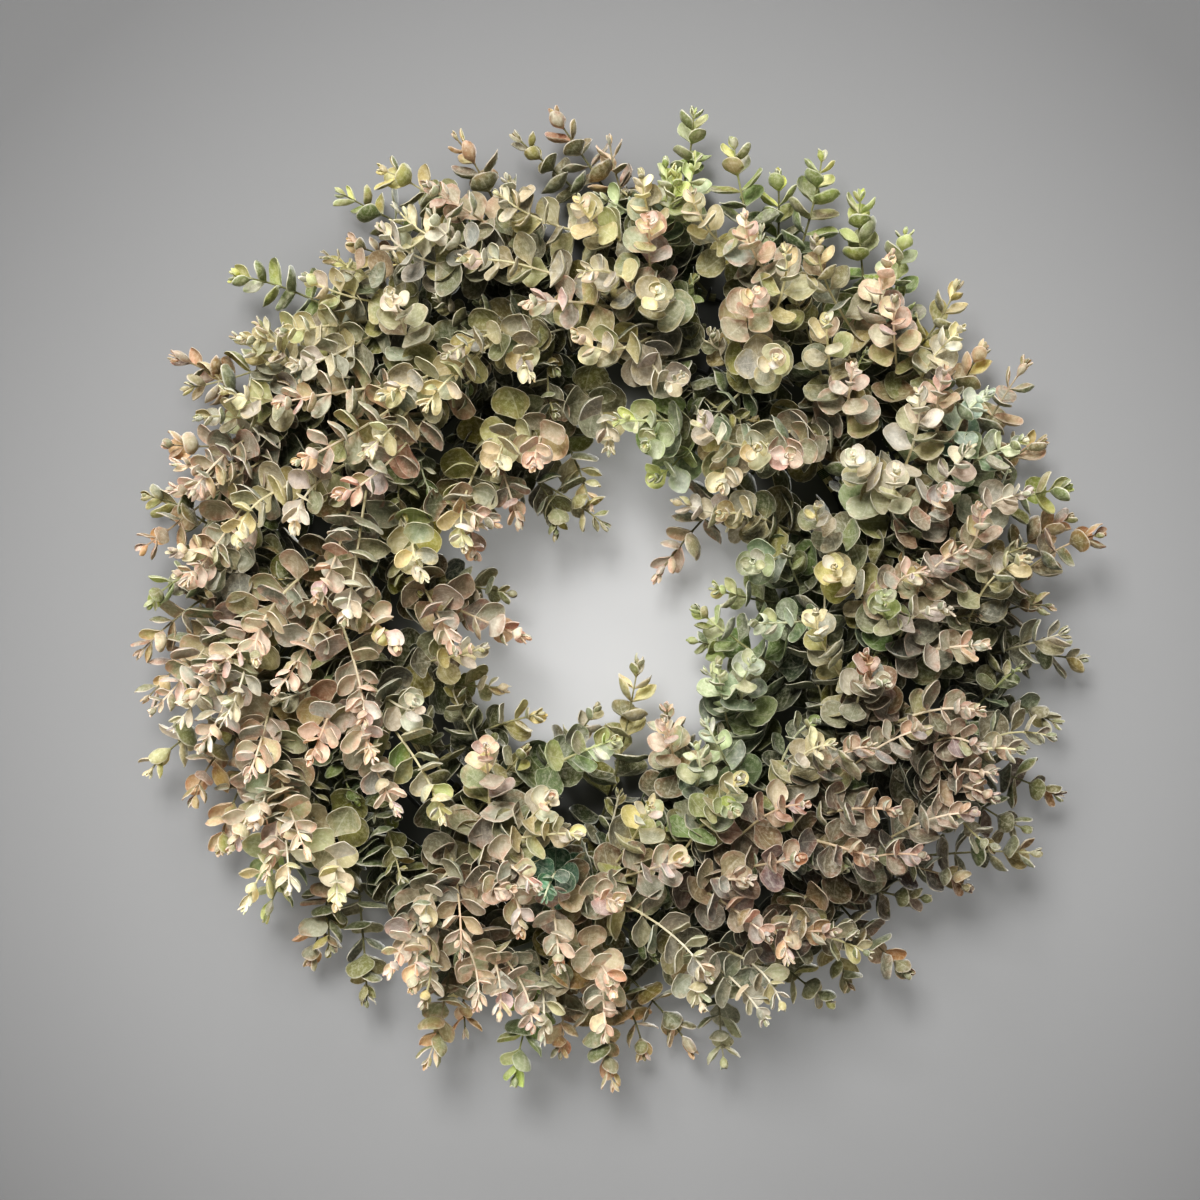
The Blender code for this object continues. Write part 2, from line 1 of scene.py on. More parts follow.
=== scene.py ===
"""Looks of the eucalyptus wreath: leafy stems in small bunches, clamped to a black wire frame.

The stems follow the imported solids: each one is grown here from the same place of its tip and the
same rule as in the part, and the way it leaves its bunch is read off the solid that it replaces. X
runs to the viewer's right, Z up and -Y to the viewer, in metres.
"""

import logging
import math
from collections.abc import Callable, Iterable
from dataclasses import dataclass, field
from enum import Enum

import bpy
import numpy as np
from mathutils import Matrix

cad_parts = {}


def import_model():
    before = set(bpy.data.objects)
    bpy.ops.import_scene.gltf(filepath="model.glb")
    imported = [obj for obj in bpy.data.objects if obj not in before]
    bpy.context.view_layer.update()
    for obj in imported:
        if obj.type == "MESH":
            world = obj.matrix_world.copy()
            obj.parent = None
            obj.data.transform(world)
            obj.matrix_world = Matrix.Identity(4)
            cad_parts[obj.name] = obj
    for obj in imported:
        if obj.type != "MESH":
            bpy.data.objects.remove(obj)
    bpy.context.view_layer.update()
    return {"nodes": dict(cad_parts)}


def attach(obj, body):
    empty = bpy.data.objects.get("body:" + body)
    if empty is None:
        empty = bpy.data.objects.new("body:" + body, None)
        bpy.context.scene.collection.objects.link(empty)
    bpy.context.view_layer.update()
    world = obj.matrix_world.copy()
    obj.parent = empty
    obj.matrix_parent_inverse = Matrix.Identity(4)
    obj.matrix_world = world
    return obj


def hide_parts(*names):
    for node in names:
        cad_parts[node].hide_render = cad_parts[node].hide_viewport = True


log = logging.getLogger("wreath")

# Points, directions, colours and other rows of numbers
Array = np.ndarray
Vector = tuple[float, float, float]
Colour = tuple[float, float, float]
Pair = tuple[float, float]
Series = tuple[float, ...]

# A stem's row and a table of them, as the stem tables explain
Entry = tuple[float, float, float, float, str]
Table = tuple[Entry, ...]

# What one input of a node takes, what several take by name or number, and a node's outputs
Value = float | tuple[float, ...] | bpy.types.NodeSocket
Feed = dict[str | int, Value]
Outputs = bpy.types.bpy_prop_collection

MM = 0.001
TURN = 2.0 * math.pi

# The part's own seed gives each stem its turn and depth, and the second one gives the leaves' variety
PART_SEED = 24
LEAF_SEED = 7

# Each stem: where its tip is seen, right and up from the middle of the ring in millimetres, which
# way it points there in degrees from the right, how far it turns to the viewer, and its leaf tones
OUTER_STEMS: Table = (
    (-240, 205, 175, 10, "G"), (-277, 153, 165, 10, "R"), (-268, 134, 190, 5, "YP"),
    (-174, 259, 150, 5, "GO"), (-145, 270, 160, 15, "YG"), (-100, 292, 130, 5, "RO"),
    (-167, 228, 150, 30, "P"), (-281, 98, 175, 20, "P"), (-61, 292, 140, 10, "O"),
    (-38, 308, 125, 5, "R"), (-3, 289, 95, 5, "P"), (50, 308, 90, 10, "G"),
    (75, 286, 95, 5, "GO"), (104, 270, 95, 15, "G"), (131, 280, 85, 5, "GY"),
    (155, 254, 85, 15, "G"), (182, 229, 80, 10, "G"), (215, 197, 70, 20, "YO"),
    (234, 159, 50, 10, "PY"), (258, 148, 55, 20, "PO"), (270, 101, 30, 20, "PO"),
    (283, 71, 15, 10, "GY"), (288, 52, 20, 5, "PT"), (304, 41, 10, 10, "RO"),
    (275, -4, 345, 25, "PY"), (297, -38, 350, 5, "OT"), (281, -21, 20, 15, "T"),
    (280, -78, 335, 10, "TO"), (281, -124, 335, 10, "RO"), (258, -144, 340, 5, "OR"),
    (263, -159, 355, 20, "YR"), (220, -180, 325, 20, "RP"), (195, -188, 0, 10, "YR"),
    (184, -234, 325, 15, "RYw"), (148, -245, 285, 5, "ORw"), (136, -256, 320, 15, "Yw"),
    (69, -291, 280, 10, "Tbc"), (48, -285, 300, 20, "Pc"), (18, -288, 275, 5, "PTc"),
    (-1, -305, 285, 10, "PTc"), (-34, -283, 265, 20, "PR"), (-63, -302, 265, 5, "Gp"),
    (-95, -275, 275, 10, "PR"), (-117, -289, 250, 15, "PO"), (-157, -253, 270, 10, "OPd"),
    (-193, -229, 255, 5, "PR"), (-181, -222, 275, 20, "O"), (-220, -199, 255, 10, "GY"),
    (-250, -156, 260, 15, "PY"), (-265, -126, 260, 5, "R"), (-297, 66, 175, 5, "YOs"),
    (-296, 33, 215, 10, "Rs"), (-291, -2, 240, 5, "GOs"), (-299, -33, 230, 15, "PRs"),
    (-296, -62, 225, 5, "Ps"), (-294, -108, 235, 10, "YO"),
)
INNER_STEMS: Table = (
    (-7, 48, 320, 0, "Od"), (-16, 60, 280, 20, "YP"), (-37, 42, 265, 5, "Od"),
    (-60, 48, 285, 0, "Pd"), (-88, 29, 290, 25, "PT"), (-77, -12, 330, 20, "PR"),
    (-56, -23, 340, 5, "RP"), (-71, -55, 0, 5, "OT"), (-48, -72, 10, 10, "O"),
    (-12, -69, 60, 10, "OG"), (15, -40, 80, 5, "YO"), (27, 15, 235, 5, "P"),
    (51, -6, 140, 10, "Gd"), (51, -26, 170, 0, "GMd"), (58, -45, 130, 25, "M"),
    (40, 61, 160, 5, "TO"), (24, 76, 200, 50, "GM"), (33, -69, 95, 30, "PT"),
    (64, 7, 160, 35, "G"), (-66, 4, 350, 0, "Od"),
)
CROWN_STEMS: Table = (
    (-136, 186, 120, 75, "Tc"), (-229, 161, 175, 20, "Y"), (-202, 164, 190, 35, "YG"),
    (-205, 120, 195, 30, "PYc"), (-193, 84, 205, 35, "PYc"), (-152, 89, 225, 40, "Y"),
    (-141, 123, 210, 45, "YT"), (-115, 117, 240, 40, "Y"), (-55, 180, 190, 30, "PY"),
    (-92, 207, 190, 35, "YP"), (-22, 243, 110, 55, "YP"), (20, 231, 100, 70, "PY"),
    (25, 188, 80, 75, "Y"), (-24, 161, 135, 35, "YP"), (-19, 199, 200, 50, "YT"),
    (47, 248, 100, 45, "Y"), (79, 234, 95, 35, "PT"), (85, 187, 80, 70, "PY"),
    (-51, 136, 300, 40, "YO"), (-73, 79, 265, 40, "YP"), (-50, 82, 265, 50, "P"),
    (1, 110, 180, 35, "GY"), (97, 147, 60, 75, "Y"), (86, 92, 45, 75, "Y"),
    (105, 87, 0, 80, "P"), (104, 213, 100, 45, "Y"), (123, 219, 95, 25, "OT"),
    (170, 183, 90, 35, "PO"), (169, 211, 65, 25, "PG"), (128, 170, 95, 60, "YPs"),
    (144, 141, 85, 60, "P"), (201, 139, 70, 35, "Ps"), (184, 126, 105, 45, "Tw"),
    (144, 88, 120, 80, "TMw"), (170, 79, 90, 60, "TYw"), (215, 93, 60, 40, "TP"),
    (199, 66, 90, 65, "RT"), (221, 56, 110, 45, "PY"), (122, 56, 80, 60, "OY"),
    (133, 20, 60, 80, "Yc"), (163, 3, 80, 65, "GY"), (210, 30, 20, 45, "PT"),
    (251, 25, 15, 30, "Y"), (122, -8, 90, 55, "YTc"), (152, -33, 110, 50, "RP"),
    (224, -27, 5, 30, "PT"), (221, -67, 350, 30, "P"), (223, -90, 330, 25, "PT"),
    (155, -89, 0, 40, "PY"), (187, -78, 15, 30, "PT"), (231, -106, 350, 20, "PR"),
    (218, -130, 0, 25, "PR"), (170, -128, 350, 45, "RT"), (115, -124, 0, 45, "RP"),
    (156, -156, 345, 40, "RP"), (187, -156, 350, 25, "RP"), (112, -156, 20, 60, "RT"),
    (81, -169, 10, 60, "P"), (92, -204, 320, 40, "PR"), (133, -202, 0, 35, "RP"),
    (72, -128, 330, 65, "GY"), (76, -108, 60, 70, "YG"), (154, -216, 330, 25, "OYc"),
    (84, 23, 130, 80, "M"), (84, -37, 60, 60, "M"), (65, 69, 250, 50, "YP"),
    (-79, -89, 90, 80, "PY"), (-1, -86, 20, 40, "GO"), (131, -88, 0, 45, "Y"),
    (-39, -120, 60, 75, "YP"), (21, -125, 80, 75, "YTc"), (40, -158, 20, 60, "PY"),
    (2, -183, 350, 55, "PY"), (-23, -142, 0, 40, "YP"), (-48, -174, 320, 35, "PT"),
    (-58, -201, 265, 30, "Ps"), (-51, -262, 270, 15, "P"), (-2, -240, 280, 30, "Pc"),
    (56, -229, 300, 25, "TYc"), (-94, -215, 270, 25, "RPs"), (-152, -74, 275, 35, "P"),
    (-147, -96, 290, 35, "P"), (-133, -29, 310, 35, "PYc"), (-93, 33, 285, 30, "YT"),
    (-117, 14, 300, 35, "YMc"), (-98, -30, 300, 30, "P"), (-167, 63, 205, 35, "PR"),
    (-182, 1, 240, 35, "PR"), (-205, -54, 230, 35, "PR"), (-218, -37, 285, 35, "PY"),
    (-250, -43, 200, 25, "P"), (-262, 11, 230, 35, "P"), (-259, 66, 240, 25, "Ps"),
    (-229, 35, 280, 30, "Y"), (-185, -97, 250, 30, "RPc"), (-133, -128, 300, 35, "P"),
    (-105, -133, 285, 30, "YG"), (-224, -108, 250, 30, "P"), (-188, -155, 295, 30, "Pc"),
    (-138, -229, 250, 20, "P"),
)
FRONT_STEMS: Table = (
    (-64, -175, 10, 35, "PTs"), (-115, -198, 280, 30, "TPs"), (-170, -186, 270, 25, "TYc"),
    (-43, -180, 250, 45, "Mt"), (228, 126, 30, 25, "Mb"),
    (-239, -74, 240, 30, "TP"), (-195, 43, 270, 30, "Tc"), (-121, -62, 90, 60, "TM"),
    (-164, -12, 260, 40, "T"), (53, -248, 290, 20, "TPc"), (102, -248, 290, 15, "TOw"),
    (-34, -223, 275, 25, "PT"), (-84, -248, 265, 20, "PT"), (164, -50, 340, 50, "T"),
    (202, -6, 345, 40, "T"), (16, 260, 95, 25, "YO"), (-115, 254, 150, 25, "PO"),
    (-71, 248, 140, 30, "YO"), (-177, 211, 160, 30, "O"), (-195, 143, 190, 40, "T"),
    (-102, 149, 215, 35, "O"), (40, 136, 60, 55, "T"), (53, 112, 90, 50, "TM"),
    (187, 17, 5, 40, "PY"), (232, -121, 335, 20, "PO"), (105, -219, 285, 30, "POc"),
    (30, -75, 110, 50, "PT"), (64, -40, 95, 35, "M"), (65, 53, 190, 50, "YO"),
    (19, 95, 250, 65, "G"), (-229, -190, 250, 12, "YG"), (-214, -168, 250, 20, "PT"),
    (-221, -138, 245, 15, "TP"), (-262, -60, 215, 12, "PT"), (-272, -78, 225, 8, "TP"),
    (-268, 16, 190, 12, "TPs"), (-272, 68, 175, 8, "PO"), (-240, 128, 165, 12, "YO"),
    (-256, 112, 190, 8, "OY"), (-233, 162, 150, 10, "OT"), (-190, 198, 150, 12, "YG"),
    (-134, 240, 130, 10, "YP"), (-113, 236, 120, 14, "T"), (-66, 258, 112, 10, "OT"),
    (38, 262, 88, 10, "GY"), (50, 272, 80, 8, "G"), (212, 166, 40, 12, "YP"),
    (252, 66, 12, 12, "TP"), (250, 98, 20, 10, "MT"), (248, -92, 350, 10, "YP"),
    (-124, -238, 262, 12, "PT"), (-44, -270, 268, 10, "TP"), (-6, -268, 272, 10, "PTc"),
    (-4, 92, 268, 20, "TO"), (92, -258, 300, 6, "TOw"), (-219, 170, 140, 12, "OP"),
    (-270, 84, 165, 10, "PT"), (-271, 30, 185, 10, "TPs"), (-286, -68, 222, 8, "PO"),
    (-254, -90, 235, 10, "PT"), (-236, -152, 240, 10, "PO"), (-200, -177, 272, 12, "TY"),
    (-118, -248, 250, 10, "OP"), (-71, -254, 262, 12, "PT"), (-74, 47, 330, 12, "PO"),
    (-82, -30, 15, 12, "OP"), (86, -14, 178, 20, "MG"), (56, -76, 118, 15, "M"),
    (31, 268, 96, 10, "G"), (268, -84, 342, 8, "OT"), (232, -152, 330, 8, "OP"),
    (-143, 228, 128, 12, "TO"), (50, -90, 105, 16, "M"),
)


def srgb(red: int, green: int, blue: int) -> Colour:
    """A colour as painters name it, 0 to 255 a channel, made linear.

    Args:
        red: Red channel.
        green: Green channel.
        blue: Blue channel.

    Returns:
        The linear colour.
    """
    shares = (channel / 255.0 for channel in (red, green, blue))
    return tuple(s / 12.92 if s <= 0.04045 else ((s + 0.055) / 1.055) ** 2.4 for s in shares)


def unit(vectors: Array) -> Array:
    """The vectors at length one.

    Args:
        vectors: One vector, or rows of them.

    Returns:
        The same, each divided by its length.
    """
    return vectors / np.linalg.norm(vectors, axis=-1, keepdims=True)


def smooth_step(values: Array, low: float, high: float) -> Array:
    """A smooth rise, 3s^2 - 2s^3, from 0 at low to 1 at high.

    Args:
        values: Where it is read.
        low: Value at which the rise starts.
        high: Value at which it ends.

    Returns:
        The height of the rise at each value.
    """
    share = np.clip((values - low) / (high - low), 0.0, 1.0)
    return share * share * (3.0 - 2.0 * share)


def carried_axes(path: Array, first: Array) -> tuple[Array, Array, Array]:
    """Tangents, and two cross directions carried along a path without twist.

    Args:
        path: Points of the path, one a row.
        first: Direction that the first cross direction starts from.

    Returns:
        Tangents, first cross directions and second cross directions, one a row.
    """
    tangents = unit(np.gradient(path, axis=0))
    sides = np.empty_like(path)
    side = first
    for i, tangent in enumerate(tangents):
        side = unit(side - tangent * np.dot(side, tangent))
        sides[i] = side
    return tangents, sides, np.cross(tangents, sides)


def mixed(first: Array | float, second: Array | float, share: Array | float) -> Array:
    """The first value drawn towards the second by a share."""
    return first + (second - first) * share


class Tone(Enum):
    """A family of leaf colours on the wreath, by the letter that the tables use."""

    PINK = "P"
    YELLOW = "Y"
    GREEN = "G"
    MINT = "M"
    OLIVE = "O"
    TAUPE = "T"
    RED = "R"


@dataclass(frozen=True)
class Shades:
    """The colours of one tone: grown leaves, young leaves, the twig near the tip, and the edges' blush."""

    grown: Colour
    young: Colour
    twig: Colour
    blush: Colour


SHADES: dict[Tone, Shades] = {
    Tone.PINK: Shades(srgb(144, 136, 114), srgb(222, 197, 174), srgb(216, 196, 172), srgb(222, 140, 118)),
    Tone.YELLOW: Shades(srgb(142, 140, 104), srgb(222, 213, 170), srgb(214, 206, 164), srgb(202, 172, 104)),
    Tone.GREEN: Shades(srgb(110, 130, 84), srgb(190, 202, 130), srgb(182, 190, 134), srgb(146, 172, 80)),
    Tone.MINT: Shades(srgb(128, 145, 119), srgb(200, 210, 170), srgb(198, 202, 168), srgb(160, 180, 118)),
    Tone.OLIVE: Shades(srgb(100, 103, 72), srgb(168, 160, 114), srgb(160, 154, 116), srgb(138, 106, 70)),
    Tone.TAUPE: Shades(srgb(140, 138, 117), srgb(212, 205, 180), srgb(212, 204, 182), srgb(186, 160, 134)),
    Tone.RED: Shades(srgb(128, 110, 90), srgb(196, 148, 122), srgb(190, 160, 136), srgb(192, 106, 82)),
}

# Tints dusted over all leaves at random: sage, khaki, beige, rose grey, deep green and cream
DUSTS: tuple[Colour, ...] = (
    srgb(128, 138, 112), srgb(138, 132, 92), srgb(174, 158, 126),
    srgb(154, 134, 116), srgb(92, 104, 74), srgb(192, 184, 150),
)

# Tints of young leaves: cream, straw, peach and rose
FRESH_TINTS: tuple[Colour, ...] = (
    srgb(230, 222, 198), srgb(214, 206, 160), srgb(226, 194, 166), srgb(214, 170, 156),
)

# A small letter after the tones lightens, softens, darkens, cools or deepens the whole stem
SHIFTS: dict[str, Colour] = {
    "c": (1.18, 1.16, 1.08),
    "w": (1.34, 1.36, 1.34),
    "p": (1.15, 1.20, 1.10),
    "s": (0.80, 0.80, 0.78),
    "d": (0.62, 0.64, 0.60),
    "b": (0.92, 1.04, 1.22),
    "t": (0.16, 0.36, 0.30),
}


class Kind(Enum):
    """Where a stem ends: at the outer rim, the hole, the crown, between others in front, or under them."""

    TIP = "tip"
    INNER = "inner"
    CROWN = "crown"
    FRONT = "front"
    UNDER = "under"


@dataclass(frozen=True)
class Ring:
    """The welded frame's sizes and places, as in the part."""

    segments: int = 24
    wire: float = 1.3 * MM
    outer: float = 205.0 * MM
    crown: float = 182.0 * MM
    inner: float = 158.0 * MM
    back: float = 1.3 * MM
    crown_depth: float = 24.0 * MM
    struts: int = 8
    strut_wire: float = 1.1 * MM
    places: int = 16

    @property
    def flat(self) -> float:
        """How near the middle of a straight length of rail lies, as a share of its corner's radius."""
        return math.cos(math.pi / self.segments)

    @property
    def middle_height(self) -> float:
        """Height of the ring's middle: the hook bears at height zero, under the outer rail."""
        return -(self.outer - self.wire) * self.flat

    def place(self, right: Array | float, up: Array | float, depth: Array | float) -> Array:
        """World points of places given from the middle of the ring and from the wall.

        Args:
            right: Distance to the viewer's right.
            up: Distance up.
            depth: Distance in front of the wall, to a wire's middle at the back.

        Returns:
            Points, one a row where the places are arrays.
        """
        parts = (right, self.back - np.asarray(depth), self.middle_height + np.asarray(up))
        return np.stack([np.asarray(p, dtype=float) for p in np.broadcast_arrays(*parts)], axis=-1)

    def round(self, angle: Array | float, radius: Array | float, depth: Array | float) -> Array:
        """World points at an angle and radius from the ring's middle, at a depth."""
        return self.place(radius * np.cos(angle), radius * np.sin(angle), depth)

    @staticmethod
    def axes(angle: float) -> tuple[Array, Array, Array]:
        """Directions at an angle round the ring.

        Args:
            angle: The angle from the viewer's right, turning up.

        Returns:
            The outward, along and forward directions.
        """
        outward = np.array([math.cos(angle), 0.0, math.sin(angle)])
        along = np.array([-math.sin(angle), 0.0, math.cos(angle)])
        return outward, along, np.array([0.0, -1.0, 0.0])


@dataclass(frozen=True)
class Row:
    """One rail with its bunches, and the shares by which their stems lean out and forward."""

    name: str
    slot: str
    most: int
    radius: float
    depth: float
    outward: float
    forward: float


RING = Ring()
OUTER_ROW = Row("outer_bunch", "outer_leaf", 7, RING.outer, RING.back, 0.8, 0.35)
CROWN_ROW = Row("crown_bunch", "crown_leaf", 6, RING.crown, RING.crown_depth, 0.0, 0.9)
INNER_ROW = Row("inner_bunch", "inner_leaf", 5, RING.inner, RING.back, -0.8, 0.35)
ROWS = (OUTER_ROW, CROWN_ROW, INNER_ROW)


@dataclass(frozen=True)
class Growth:
    """How a stem grows and carries its leaf pairs, as in the part, with the pairs that it leaves out.

    The pairs' distances from the tip and their leaves' lengths are in millimetres, widths are shares
    of the lengths, tilts are in degrees, and the kept pairs are numbers from the tip.
    """

    root: float = 1.7 * MM
    tip: float = 1.0 * MM
    sides: int = 3
    first_corner: float = 0.25
    points: int = 25
    side_guide: Vector = (0.3, 0.2, 0.9)
    back_reach: float = 80.0 * MM
    leave_pull: float = 0.85
    tip_pull: float = 1.05
    tip_match: float = 0.1 * MM
    tip_depth: Pair = (20.0 * MM, 60.0 * MM)
    inner_depth: Pair = (26.0 * MM, 84.0 * MM)
    under_height: Pair = (0.38, 0.34)
    crown_back: float = 30.0 * MM
    crown_rise: float = 86.0 * MM
    crown_radius: float = 186.0 * MM
    crown_half: float = 135.0 * MM
    lift_gain: float = 16.0 * MM
    outer_from: float = 238.0 * MM
    inner_from: float = 118.0 * MM
    facing_from: float = 54.0
    bare_foot: float = 12.0 * MM
    lone_pair: float = 0.6
    pairs_from_tip: Series = (3, 8, 15, 23, 33, 44, 56, 69, 83, 97, 112, 127, 142)
    set_pairs_from_tip: Series = (3, 8.5, 16, 25, 36, 48, 61, 75, 90, 105, 120, 135)
    open_pairs_from_tip: Series = (3, 10, 19, 29, 39, 50, 62, 75, 89, 103, 118, 133)
    leaf_lengths: Series = (7, 10, 13, 15.5, 18, 20, 22, 23.5, 24, 24, 24, 23)
    open_leaf_lengths: Series = (8, 13, 15.5, 17, 18, 19, 21, 23, 24, 24, 23, 22)
    leaf_widths: Series = (0.6, 0.72, 0.84, 0.92, 0.96, 1, 1, 1.02, 1.03, 1.03, 1.03, 1.03)
    leaf_tilts: Series = (24, 36, 46, 54, 60, 64, 67, 70, 72, 73, 74, 75)
    kept_tip: tuple[tuple[int, ...], ...] = ((1, 5), (3, 7), (2, 6), (1, 4, 7))
    kept_facing: tuple[tuple[int, ...], ...] = ((3, 6), (4, 7), (5,))
    kept_side: tuple[tuple[int, ...], ...] = ((4, 7), (5, 8), (3, 6))


GROWTH = Growth()


def canopy(radius: Array | float) -> Array:
    """Height of the foliage from the wall, a half round over the crown rail: back + rise sqrt(1 - off^2).

    Args:
        radius: Distance from the ring's middle.

    Returns:
        The height there.
    """
    off = np.minimum(1.0, np.abs(np.asarray(radius) - GROWTH.crown_radius) / GROWTH.crown_half)
    return GROWTH.crown_back + GROWTH.crown_rise * np.sqrt(1.0 - off * off)


# Ways in which a stem may leave its bunch, as shares added along and across the rail
LEAVE_BENDS = (
    (0.0, 0.0), (0.4, 0.0), (-0.4, 0.0), (0.0, 0.4), (0.0, -0.4),
    (0.7, 0.3), (-0.7, 0.3), (0.4, -0.5), (-0.4, -0.5),
)


@dataclass
class Bunch:
    """The gathered stems at one place of a rail, and the leafy stems that spring from them."""

    row: Row
    number: int
    pitch: float = TURN / RING.places
    offset: float = math.radians(-4.0)
    turn: float = math.radians(14.5)
    head_half: float = 3.2 * MM
    tail_half: float = 2.5 * MM
    seat: float = 0.3 * MM
    first: float = 5.0 * MM
    step: float = 6.8 * MM
    drift: float = 0.35
    stems: list["Stem"] = field(default_factory=list)

    def __post_init__(self) -> None:
        """Works out the ends of the gathered stems."""
        self.angle = self.number * self.pitch + self.offset
        depth = self.row.depth + RING.wire + self.seat + self.head_half
        self.head = RING.round(self.angle, self.row.radius, depth)
        self.tail = RING.round(self.angle - self.turn, self.row.radius, depth)
        self.tail[1] += self.head_half - self.tail_half
        self.run = unit(self.tail - self.head)

    @property
    def name(self) -> str:
        """Name of the node that these pieces replace."""
        return f"{self.row.name}_{self.number + 1:02d}"

    def root(self, index: int) -> Array:
        """Where the leafy stem of this index springs from the gathered stems."""
        return self.head + self.run * (self.first + self.step * index)

    def leave_ways(self) -> list[Array]:
        """Directions in which a stem may leave, in the part's order.

        Returns:
            The row's plain way, and then its bends.
        """
        outward, along, forward = RING.axes(self.angle)
        plain = unit(self.row.outward * outward + self.row.forward * forward + self.drift * along)
        second = outward if self.row is CROWN_ROW else forward
        return [unit(plain + p * along + q * second) for p, q in LEAVE_BENDS]


@dataclass
class Stem:
    """One leafy stem: where it ends, the tones of its leaves, and its path from the gathered stems.

    Its fit is how far, on average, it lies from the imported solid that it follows.
    """

    entry: Entry
    kind: Kind
    index: int
    roll: float
    share: float
    fit: float = 0.0

    def __post_init__(self) -> None:
        """Works out the tip's place and direction, and where round the ring the stem comes from."""
        right, up, heading, self.lift, self.marks = self.entry
        turn, tilt = math.radians(heading), math.radians(self.lift)
        flat = np.array([math.cos(turn), math.sin(turn)])
        self.seen = np.array([right, up]) * MM
        self.tip_way = np.array([flat[0] * math.cos(tilt), -math.sin(tilt), flat[1] * math.cos(tilt)])
        self.tip = RING.place(*self.seen, self.depth())
        back = self.seen - flat * GROWTH.back_reach * math.cos(tilt)
        self.root_angle = math.atan2(back[1], back[0])

    def depth(self) -> float:
        """How far the tip stands from the wall: the foliage is a half round, with tips all round its rim.

        Returns:
            The distance.
        """
        if self.kind in (Kind.TIP, Kind.INNER):
            low, high = GROWTH.tip_depth if self.kind is Kind.TIP else GROWTH.inner_depth
            return low + (high - low) * self.share
        height = float(canopy(np.linalg.norm(self.seen)))
        if self.kind is Kind.UNDER:
            low, gain = GROWTH.under_height
            return (low + gain * self.share) * height
        return height + GROWTH.lift_gain * math.sin(math.radians(self.lift))

    def row(self) -> Row:
        """The rail whose bunches carry this stem.

        Returns:
            The rail's row.
        """
        radius = np.linalg.norm(self.seen)
        if self.kind is Kind.TIP or radius > GROWTH.outer_from:
            return OUTER_ROW
        if self.kind is Kind.INNER or radius < GROWTH.inner_from:
            return INNER_ROW
        return CROWN_ROW

    def kept_pairs(self) -> tuple[int, ...]:
        """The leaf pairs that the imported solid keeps.

        Returns:
            Their numbers, from the tip.
        """
        if self.kind is Kind.TIP:
            choices = GROWTH.kept_tip
        elif self.lift >= GROWTH.facing_from:
            choices = GROWTH.kept_facing
        else:
            choices = GROWTH.kept_side
        return choices[self.index % len(choices)]

    def grow(self, root: Array, leave: Array) -> None:
        """Sets the path: the cubic curve that leaves the root one way and ends along the tip's way.

        Args:
            root: Where the stem springs from.
            leave: Direction in which it leaves.
        """
        t = np.linspace(0.0, 1.0, GROWTH.points)[:, None]
        reach = np.linalg.norm(self.tip - root)
        self.path = (
            (2 * t**3 - 3 * t**2 + 1) * root
            + (t**3 - 2 * t**2 + t) * leave * reach * GROWTH.leave_pull
            + (3 * t**2 - 2 * t**3) * self.tip
            + (t**3 - t**2) * self.tip_way * reach * GROWTH.tip_pull
        )
        steps = np.linalg.norm(np.diff(self.path, axis=0), axis=1)
        self.along = np.concatenate([[0.0], np.cumsum(steps)])
        self.length = self.along[-1]
        side = unit(np.cross(self.path[1] - self.path[0], np.array(GROWTH.side_guide)))
        self.axes = carried_axes(self.path, side)

    def stations(self, distances: Array) -> tuple[Array, Array, Array, Array]:
        """Points, tangents and two cross directions at distances from the root, one a row.

        Args:
            distances: Series along the stem.

        Returns:
            Points, tangents and the two cross directions, turned by the stem's own roll.
        """
        distances = np.clip(distances, 0.0, self.length)
        read = [
            np.stack([np.interp(distances, self.along, values[:, i]) for i in range(3)], axis=1)
            for values in (self.path, *self.axes)
        ]
        tangents, sides, beyonds = (unit(values) for values in read[1:])
        turned = math.cos(self.roll) * sides + math.sin(self.roll) * beyonds
        return read[0], tangents, turned, np.cross(tangents, turned)

    def misfit(self, corners: Array) -> float:
        """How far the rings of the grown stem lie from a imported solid's corners, on average.

        Args:
            corners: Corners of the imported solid.

        Returns:
            The mean distance from the ring corners at the kept pairs to the nearest corner.
        """
        back = np.array([GROWTH.pairs_from_tip[k] for k in self.kept_pairs()]) * MM
        distances = self.length - back[back < self.length - GROWTH.bare_foot]
        if not len(distances):
            distances = np.array([GROWTH.lone_pair * self.length])
        points, _, a, b = self.stations(distances)
        radius = (GROWTH.root + (GROWTH.tip - GROWTH.root) * distances / self.length)[:, None]
        turns = [(GROWTH.first_corner + i / GROWTH.sides) * TURN for i in range(GROWTH.sides)]
        rings = np.concatenate([points + radius * (math.cos(t) * a + math.sin(t) * b) for t in turns])
        gaps = np.linalg.norm(rings[:, None] - corners[None], axis=2)
        return float(gaps.min(axis=1).mean())


